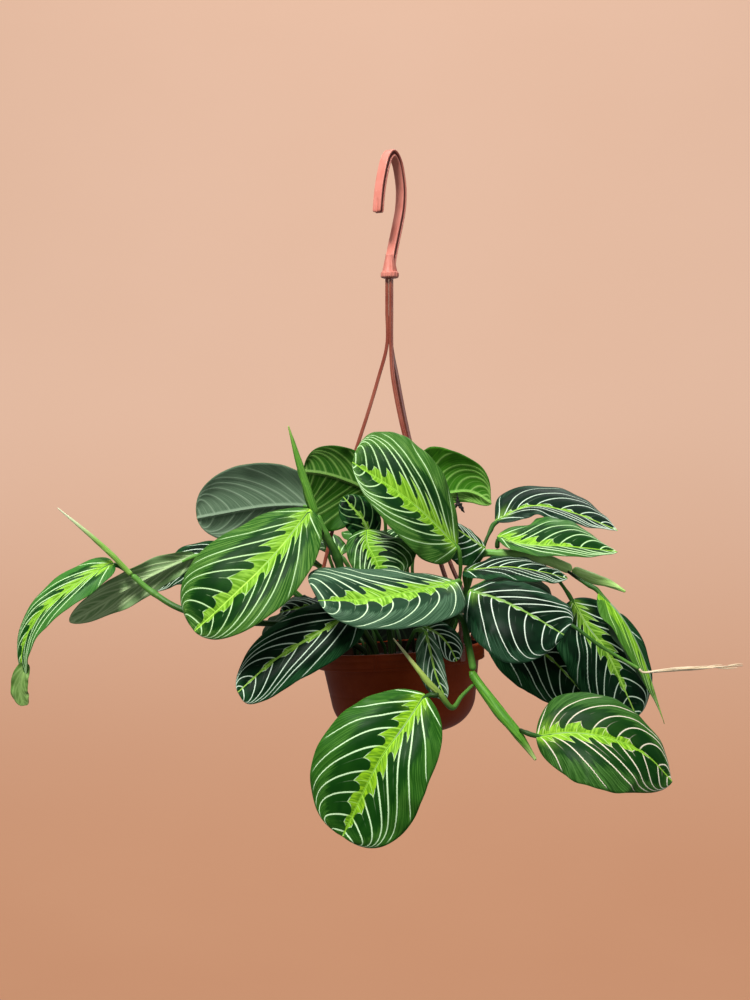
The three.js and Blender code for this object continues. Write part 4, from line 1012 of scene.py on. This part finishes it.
leaf("top_centre", rooted(22, -14), [(44, -30, -332), (50, -40, -305)],
     [(47, -46, -291), (23, -56, -267), (3, -58, -251), (-29, -50, -230)], (28, 40), (-0.1, -0.85, 0.5),
     [(0.42, 0.45, 0.6, -0.45), (0.62, 0.6, 0.45, 0.45)], veins=9, flow=((1.7, 2.4), (1.15, 2.4)),
     top=dict(mid="#34681f", dark="#0c3010", pale="#688f44", hair=0.3, teeth=1.1,
             along=[(0, 0.5), (0.25, 0.5), (0.55, 0.62), (0.75, 0.42), (0.9, 0.2), (1, 0)]))
leaf("left_big", beside("stem_top", 0.88, (-58, -70, -274)), [(-56.5, -58.5, -271)],
     [(-59, -57, -264), (-85, -76, -297), (-112, -88, -324), (-139, -88, -349)], (33, 45),
     (-0.2, -0.85, 0.45), [(0.56, 0.5, 0.55, 0), (0.68, 0.55, 0.36, 0)], veins=8,
     flow=((1.3, 1.7), (1.4, 1.5)),
     top=dict(lime="#8ec040", mid="#255a16", pale="#668f40", hair=0.4, teeth=1.15, rib_line="#c8f06c",
             light=0.9))
# This leaf's greyish greens are a painted sheen, the sky reflected on its top.
leaf("centre", rooted(12, -30), [(38, -52, -338), (48, -60, -318)],
     [(45, -64, -315), (15, -82, -321), (-16, -92, -326), (-52, -98, -327)], (33, 32), (-0.1, -0.75, 0.65),
     [(0.3, 0.5, 0.5, -0.1), (0.74, 0.75, 0.22, 0.35)], veins=8, flow=((2.8, 0.8), (1.2, 1.25)),
     top=dict(mid="#2e4e36", dark="#16341e", pale="#557558", vein="#d8f2c8", teeth=1.2, reach=0.5,
             lime="#9ace48", light=0.8,
             along=[(0, 0.4), (0.25, 0.5), (0.6, 0.62), (0.78, 0.4), (0.92, 0.12), (1, 0)]))
leaf("lower_left", rooted(-12, -34), [(-16, -46, -345)],
     [(-21, -52, -334), (-45, -68, -347), (-82, -78, -369), (-109, -84, -392)], (24, 23),
     (-0.1, -0.9, 0.3), [(0.35, 0.4, 0.28, 0.25), (0.48, 0.5, 0.6, 0)], top=dict(DARK, teeth=0.5))
leaf("front_low", beside("rolled_leaf_front", 0.47, (28, -102, -392)), [(29.5, -100.5, -392.5)],
     [(22, -98, -392), (6, -112, -414), (-11, -120, -437), (-35, -116, -487)], (40, 44),
     (-0.1, -0.9, 0.35), [(0.62, 0.5, 0.4, 0.12), (0.58, 0.5, 0.48, 0.02)], veins=9, power=1.3, ruffle=1.1,
     flow=((1.15, 1.9), (1.6, 1.15)),
     top=dict(dark="#0c380a", mid="#275a16", pale="#4a7c2c", lime="#94c822", vein="#d0efbe",
             vein_width=0.56, hair=0.15, light=0.25, teeth=0.95))
leaf("lower_right", beside("sheath_front", 0.7, (92, -99, -416)), [(93, -98, -419)],
     [(99, -99, -421), (123, -106, -417.5), (149, -111, -421), (173, -110, -432), (192, -107, -451)],
     (34, 40), [(0.1, -0.8, 0.55), (0.2, -0.8, 0.5)], [(0.3, 0.5, 1.15, 0), (0.48, 0.5, 0.55, 0)], veins=8,
     flow=((2.2, 1.1), (1.1, 1.8)),
     top=dict(mid="#295218", pale="#4c7836", vein="#e4d8c4", teeth=0.9, lime="#98cc34",
             along=[(0, 0.7), (0.35, 0.5), (0.6, 0.35), (0.78, 0.04), (1, 0)]))
leaf("right_middle", rooted(38, -14), [(57, -34, -345), (60, -46, -328)],
     [(55, -54, -322), (76, -68, -328), (97, -78, -338), (120, -82, -352)], (22, 41), (0.2, -0.9, 0.3),
     [(0.8, 0.6, 0.25, 0.1), (0.62, 0.5, 0.5, 0)], veins=7, flow=((1.1, 2.0), (1.6, 1.4)),
     top=dict(DARK, teeth=0.2, mid="#153a20", pale="#385440", vein="#dcebd8", rib="#8fb85a"))
leaf("right_thin", rooted(36, -18), [(54, -28, -325)],
     [(52, -32, -309), (82, -40, -306), (107, -42, -309), (127, -42, -314)], (18, 20), (0, -0.4, 0.9),
     [(0.4, 0.3, 0.55, 0), (0.4, 0.3, 0.55, 0)], top=dict(DARK, teeth=0.1))
leaf("right_top", beside("stem_right", 0.55, (72, -4, -285)), [(71, -2, -286)],
     [(78, 8, -273), (105, 14, -262), (137, 12, -267), (170, 4, -280)], (34, 16), (0, -0.5, 0.87),
     [(0.42, 0.85, 1.2, 0), (0.4, 0.5, 0.8, 0)],
     top=dict(DARK, teeth=0.35, mid="#12301c", pale="#34503e", dark="#081f12"))
leaf("right_upper", beside("stem_right", 0.62, (76, -15, -288)), [],
     [(78, -15, -284), (97, -24, -290), (126, -30, -291), (165, -30, -295)], (36, 12), (0, -0.6, 0.8),
     [(0.38, 0.5, 1.2, 0), (0.5, 0.5, 0.6, 0)],
     top=dict(teeth=0.75, mid="#275c1e", lime="#92c834",
             along=[(0, 1), (0.3, 0.7), (0.5, 0.4), (0.7, 0.05), (1, 0)]))
leaf("right_far", beside("stem_right", 0.98, (136, -26, -316)), [(141, -28, -318)],
     [(152, -34, -324), (168, -44, -344), (182, -47, -372), (197, -46, -419)], (15, 14),
     [(0.7, 0, 0.7), (0.9, 0, 0.2)], [(0.22, 0.5, 1.7, 0), (0.24, 0.5, 1.7, 0)], lift=(-62, -66), veins=5,
     top=dict(teeth=2.6, lime="#86bc2c", lime_deep="#578c1c", reach=0.3, mid="#44761e", dark="#1c4a0e",
             vein="#b4d888", vein_width=0.26))
leaf("right_outer", beside("stem_right", 0.86, (122, -20, -316)), [(124, -18, -318)],
     [(133, -18, -331), (145, -24, -352), (158, -28, -370), (179, -30, -416)], (30, 34), (0.2, -0.9, 0.2),
     top=dict(DARK, teeth=0.95, lime="#7fb034",
             along=[(0, 0.8), (0.4, 0.6), (0.65, 0.35), (0.85, 0.05), (1, 0)]))
leaf("right_lower", rooted(40, 8), [(62, 10, -348)],
     [(70, 10, -341), (95, 7, -361), (120, 5, -377), (148, 4, -407)], (28, 33), (0.2, -0.9, 0.2),
     [USUAL, (0.52, 0.75, 0.5, 0)], top=dict(DARK, teeth=0.2))
leaf("left_top", rooted(-24, 8), [(-44, 10, -310)],
     [(-57, 8, -263), (-76, 8, -261), (-103, 8, -263), (-147, 8, -271)], (35, 28), (-0.1, 0.95, 0.2),
     [(0.5, 0.45, 0.42, 0), (0.5, 0.5, 0.5, 0)],
     under=dict(ground="#6b8367", deep="#526b52", vein="#8ba286"))
leaf("back_centre_left", rooted(-8, 4), [(-6, -4, -310), (-5, -7, -275)],
     [(-10, -9, -254), (-31, -12, -244), (-50, -14, -238), (-66, -14, -236)], (24, 43), (-0.1, 0.95, 0.2),
     [(0.55, 0.5, 0.4, 0), (0.55, 0.5, 0.45, 0)],
     under=dict(ground="#336612", deep="#1f4c0c", vein="#78a04c"))
leaf("back_right", rooted(10, 12), [(12, 22, -310), (13, 24, -275)],
     [(16, 27, -256), (37, 30, -253), (60, 34, -251), (77, 34, -260)], (9, 39), (0, 0.95, 0.3),
     [(0.6, 0.5, 0.5, 0), (0.28, 0.4, 1.1, 0)],
     under=dict(ground="#4a8a1c", deep="#2f6a10", vein="#98cc62"))
leaf("left_far", beside("stem_left", 0.93, (-188, -20, -316)), [(-193, -28.5, -311)],
     [(-205, -27, -303), (-224, -34, -314), (-247, -38, -331), (-261, -38, -346), (-270, -36, -368),
      (-269, -35, -388)],
     (16, 16), [(-0.4, -0.8, 0.4), (-0.8, -0.5, 0)], [(0.35, 0.35, 0.5, 0), (0.3, 0.35, 0.5, 0)],
     ruffle=0.6, veins=8, top=dict(teeth=1.2, lime="#98d03c", mid="#3c7a30", dark="#10400f"))
leaf("left_outer", rooted(-34, 2), [(-80, -8, -322), (-120, -16, -300)],
     [(-145, -20, -298), (-171, -24, -310), (-203, -22, -327), (-238, -22, -347)], (13, 13),
     (0.2, 0.9, 0.4), ruffle=1.8, under=dict(ground="#8aa870", deep="#6c9058", vein="#bcd49c"))
leaf("left_behind", rooted(-34, 12), [(-80, 4, -320)],
     [(-112, -2, -301), (-140, 0, -299), (-163, 2, -309), (-181, 2, -324)], (20, 16), (-0.2, -0.7, 0.7),
     top=dict(DARK, teeth=0.2))
leaf("left_inner", rooted(-22, -4), [(-34, -18, -338)],
     [(-41, -30, -331), (-54, -44, -334), (-67, -50, -335), (-81, -52, -338)], (15, 14), (-0.2, -0.7, 0.7),
     top=dict(DARK, teeth=0.8))
leaf("front_folded", rooted(4, -44), [(16, -66, -350)],
     [(23, -76, -350), (26, -82, -363), (30, -85, -380), (37, -84, -397)], (8, 12), (0.2, -0.9, 0.1),
     veins=6,
     top=dict(DARK, teeth=0.1, vein_width=0.3, mid="#35583c", dark="#0d2a17", pale="#6a8a68", reach=0.35))
leaf("front_small", rooted(14, -42), [(20, -56, -352)],
     [(24, -64, -348), (33, -70, -353), (40, -74, -361), (45, -75, -371)], (11, 11), (0.2, -0.9, 0.2),
     veins=6, top=dict(DARK, teeth=0.2, mid="#164020"))
leaf("centre_small", rooted(-6, -12), [(-16, -26, -300)],
     [(-19, -32, -279), (-18, -40, -290), (-12, -46, -302), (-6, -50, -318)], (34, 18), (0.1, -0.9, 0.3),
     top=dict(teeth=1.3, lime="#6fa828", mid="#184814", dark="#062008"))
leaf("centre_young", rooted(-8, -4), [(-12, -16, -305)],
     [(-15, -20, -286), (-22, -24, -271), (-30, -24, -262), (-36, -22, -255)], (14, 14), (0, -0.9, 0.3),
     veins=5, flow=((1.3, 1.1), (1.3, 1.1)),
     top=dict(DARK, teeth=0.7, lime="#5f9424", mid="#1c4a18", vein="#7fa468"))
leaf("right_edge", beside("stem_right", 0.47, (70, -22, -298)), [],
     [(69, -18, -293), (57, -22, -285), (47, -24, -278), (40, -22, -272)], (26, 6), (0, -0.8, 0.6),
     top=dict(DARK, teeth=0.1, mid="#1c4c1c", dark="#0c2c10"))
# This leaf's near-black underside is painted shade behind the pot.
leaf("back_low", rooted(0, 40), [(2, 56, -350)],
     [(2, 66, -345), (0, 95, -358), (-4, 116, -392), (-6, 122, -436)], (33, 34),
     [(0, 0.6, 0.8), (0, 1, 0.1)], under=dict(ground="#1a2c12", deep="#0e1c0a", vein="#33502a"))
leaf("back_left_low", rooted(-28, 30), [(-44, 46, -345)],
     [(-52, 54, -340), (-70, 76, -346), (-84, 90, -362), (-92, 96, -386)], (27, 28),
     [(-0.4, 0.5, 0.8), (-0.6, 0.7, 0.4)])
leaf("back_left", rooted(-32, 20), [(-46, 36, -325)],
     [(-54, 42, -308), (-78, 58, -300), (-100, 70, -301), (-122, 76, -312)], (28, 30),
     [(-0.2, 0.5, 0.9), (-0.3, 0.5, 0.8)])
leaf("back_middle", rooted(-4, 26), [(-6, 38, -318)],
     [(-7, 46, -300), (-10, 66, -287), (-14, 88, -284), (-18, 110, -292)], (28, 28),
     [(0, -0.2, 1), (0, 0.2, 1)])
leaf("back_right_low", rooted(28, 32), [(40, 46, -345)],
     [(46, 54, -338), (64, 74, -338), (80, 88, -346), (92, 94, -362)], (28, 26),
     [(0.3, 0.5, 0.8), (0.5, 0.7, 0.5)])
leaf("back_right_side", rooted(38, 20), [(52, 30, -340)],
     [(60, 34, -326), (86, 40, -320), (110, 44, -327), (126, 44, -344)], (24, 24),
     [(0.2, 0.3, 0.9), (0.4, 0.4, 0.8)])
leaf("back_upper", rooted(14, 24), [(16, 34, -310)],
     [(18, 42, -290), (24, 62, -275), (28, 84, -271), (30, 106, -280)], (22, 22),
     [(0, -0.1, 1), (0, 0.3, 1)])
leaf("back_left_upper", rooted(-18, 24), [(-28, 34, -318)],
     [(-39, 42, -300), (-60, 58, -284), (-77, 72, -280), (-92, 86, -288)], (26, 26),
     [(-0.1, 0, 1), (-0.2, 0.3, 1)])


def build_leaves():
    stalk = stalk_material("leaf_stalk")
    usual_under = leaf_under("leaf_under")
    usual_top = leaf_top("leaf_top_usual", 1)
    for i, (name, (shape, top, under)) in enumerate(LEAVES.items()):
        top = leaf_top(name + "_top", i * 3.7, **top) if top else usual_top
        under = leaf_under(name + "_under", i * 2.3, **under) if under else usual_under
        build_leaf(name, (top, under, stalk), **shape)
    # The far left leaf's tip is folded over, so that its underside shows.
    fold = leaf_under("leaf_fold", 4.0, ground="#6c8f42", deep="#47702a", vein="#8cae62")
    build_leaf("leaf_left_far_tip", (fold, fold, stalk), [(-268, -35, -372), (-268, -36, -374)],
               [(-267, -37, -376), (-270, -38.5, -386), (-271, -38, -396), (-268, -37, -407)], (6.5, 7),
               [(0.1, -0.9, 0.2), (-0.3, -0.9, 0.1)], [(0.6, 0.3, 0.3, 0.1), (0.5, 0.3, 0.35, 0)],
               lift=(8, 20), veins=5, ruffle=1.2)


def build_scrap(material):
    """A dried scrap of leaf that clings under the back right leaf."""
    def curled(share, angle):
        return (0.7 + 0.3 * np.cos(angle * 3 + share * 12)) * (1 + 0.2 * np.sin(share * 40 + angle))

    body = Body()
    hanging = [(50.2, 32.4, -250), (50.6, 32.2, -256), (51.4, 31.6, -260), (54, 31, -264), (56, 30.6, -267)]
    body.rings(tube(Curve(hanging), [0.4, 0.5, 1.6, 2.5, 1.6, 0.4], 12, 0.6, form=curled))
    arm = [(51.2, 31.8, -259.5), (49.4, 31.4, -262), (47.2, 31, -263)]
    body.rings(tube(Curve(arm), [0.8, 1.7, 1.1, 0.3], 12, 0.6, form=curled))
    body.piece("dried_scrap", [material], "leaf_blade")


# ---- the stage, the lights and the camera: lengths in metres ----

FLOOR, FLAT_RADIUS, WALL_TOP = -1.35, 2.2, 3.4
FOCAL_PIXELS, IMAGE_HEIGHT, SENSOR = 1733.33, 1000, 36
EYE, PLANT = (-0.01275, -1.3, -0.25725), (0, 0, -0.3)


def build_stage():
    n = Shader("backdrop")
    # Painted light: the backdrop is darker towards the floor and lighter higher up, as if lit from above.
    painted_falloff = n.mix(n.split(n.place())[2].step(FLOOR, 0.1), "#c28a69", "#e4bca4")
    colour = n.mix(n.noise(n.place(), 1.3) * 0.3, painted_falloff, "#d8a988")
    n.finish(colour, 0.9, n.noise(n.place(), 6.0, 3.0), 0.1, 0.02, 0.1)
    outline = [(radius, FLOOR) for radius in (0.0003, 0.02, 1.2, FLAT_RADIUS)]
    outline += [(FLAT_RADIUS * (1 + math.sin(t)), FLOOR + 2.6 * (1 - math.cos(t)))
                for t in np.linspace(0.1, math.pi / 2, 20)]
    outline += [(2 * FLAT_RADIUS, 2.0), (2 * FLAT_RADIUS, WALL_TOP)]
    body = Body()
    body.rings(lathe(outline, 96)[:, ::-1] / MM, closed_ends=False)
    stage = link("floor", body.mesh("floor", [n.material]))
    stage.visible_diffuse = stage.visible_glossy = stage.visible_shadow = False


def area_light(name, place, target, size, power, colour=(1, 1, 1)):
    light = bpy.data.lights.new(name, "AREA")
    light.shape, light.size, light.energy, light.color = "DISK", size, power, colour
    lamp = link(name, light)
    x, y, z = np.subtract(target, place)
    lamp.location = place
    lamp.rotation_euler = (math.acos(-z / math.hypot(x, y, z)), 0, math.atan2(y, x) - math.pi / 2)


def build_lights():
    area_light("key", (-0.9, -1.7, 2.1), PLANT, 0.9, 122, (1, 0.99, 0.96))
    area_light("fill", (1.8, -1.5, 0.2), PLANT, 1.6, 8, (0.95, 0.98, 1))
    area_light("rear", (0.9, 1.9, 1.7), PLANT, 1.2, 16)
    area_light("far_wall", (0, -1.9, 2.6), (0, -4.0, 0.2), 2.4, 60)
    area_light("wall", (0, 1.2, 2.6), (0, 4.0, 0.2), 2.4, 95)
    world = bpy.data.worlds.new("studio")
    bpy.context.scene.world = world
    world.use_nodes = True
    world.node_tree.nodes["Background"].inputs["Color"].default_value = (1, 1, 1, 1)
    world.node_tree.nodes["Background"].inputs["Strength"].default_value = 0.2


def build_camera():
    camera = bpy.data.cameras.new("camera")
    camera.lens, camera.sensor_width, camera.clip_end = FOCAL_PIXELS * SENSOR / IMAGE_HEIGHT, SENSOR, 50
    eye = link("camera", camera)
    eye.location = EYE
    eye.rotation_euler = (math.pi / 2, 0, 0)
    bpy.context.scene.camera = eye
    bpy.context.scene.view_settings.view_transform = "Standard"


build_camera()
# The hook's groove colour is painted shade in its channel.
hook_plastic = plastic("hook_plastic", "#cc7464", "#dc8c7c", "#f0c4b2", 0.4, 0.25, groove="#6a2a22")
leg_plastic = plastic("leg_plastic", "#843826", "#9a523e", "#d4a894", 0.24, 0.12, shine=1.0)
pot_plastic = plastic("pot_plastic", "#86300d", "#933b16", "#a35a38", 0.45, 0.2, shine=0.1)
# The pot's inside material is near-black: painted shade inside the pot.
build_pot(pot_plastic, plastic("pot_inside", "#1c0d07", "#2a150c", "#3c2416", 0.7, shine=0.1))
build_soil(soil_material("potting_mix"), plastic("bark", "#6b4a2e", "#8a6a4a", "#b49a7a", 0.8))
build_hook(hook_plastic)
for leg, (azimuth, bundle, way) in LEGS.items():
    build_leg(leg, azimuth, bundle, way, leg_plastic)
young = {name: young_material(name, *looks) for name, looks in YOUNG_LOOKS.items()}
build_stems(stalk_material("green_stem", high="#5f9a3c", until=0.75),
            stalk_material("pale_stem", middle="#5a9a3a", high="#c6f092", joint="#86bc5c", until=0.5), young,
            young_material("dry_bract", "#efe2c8", "#c9ae86", "#d8bfa0", 0.5))
build_leaves()
build_scrap(soil_material("dried_leaf", "#080604", "#1c1410"))
build_stage()
build_lights()
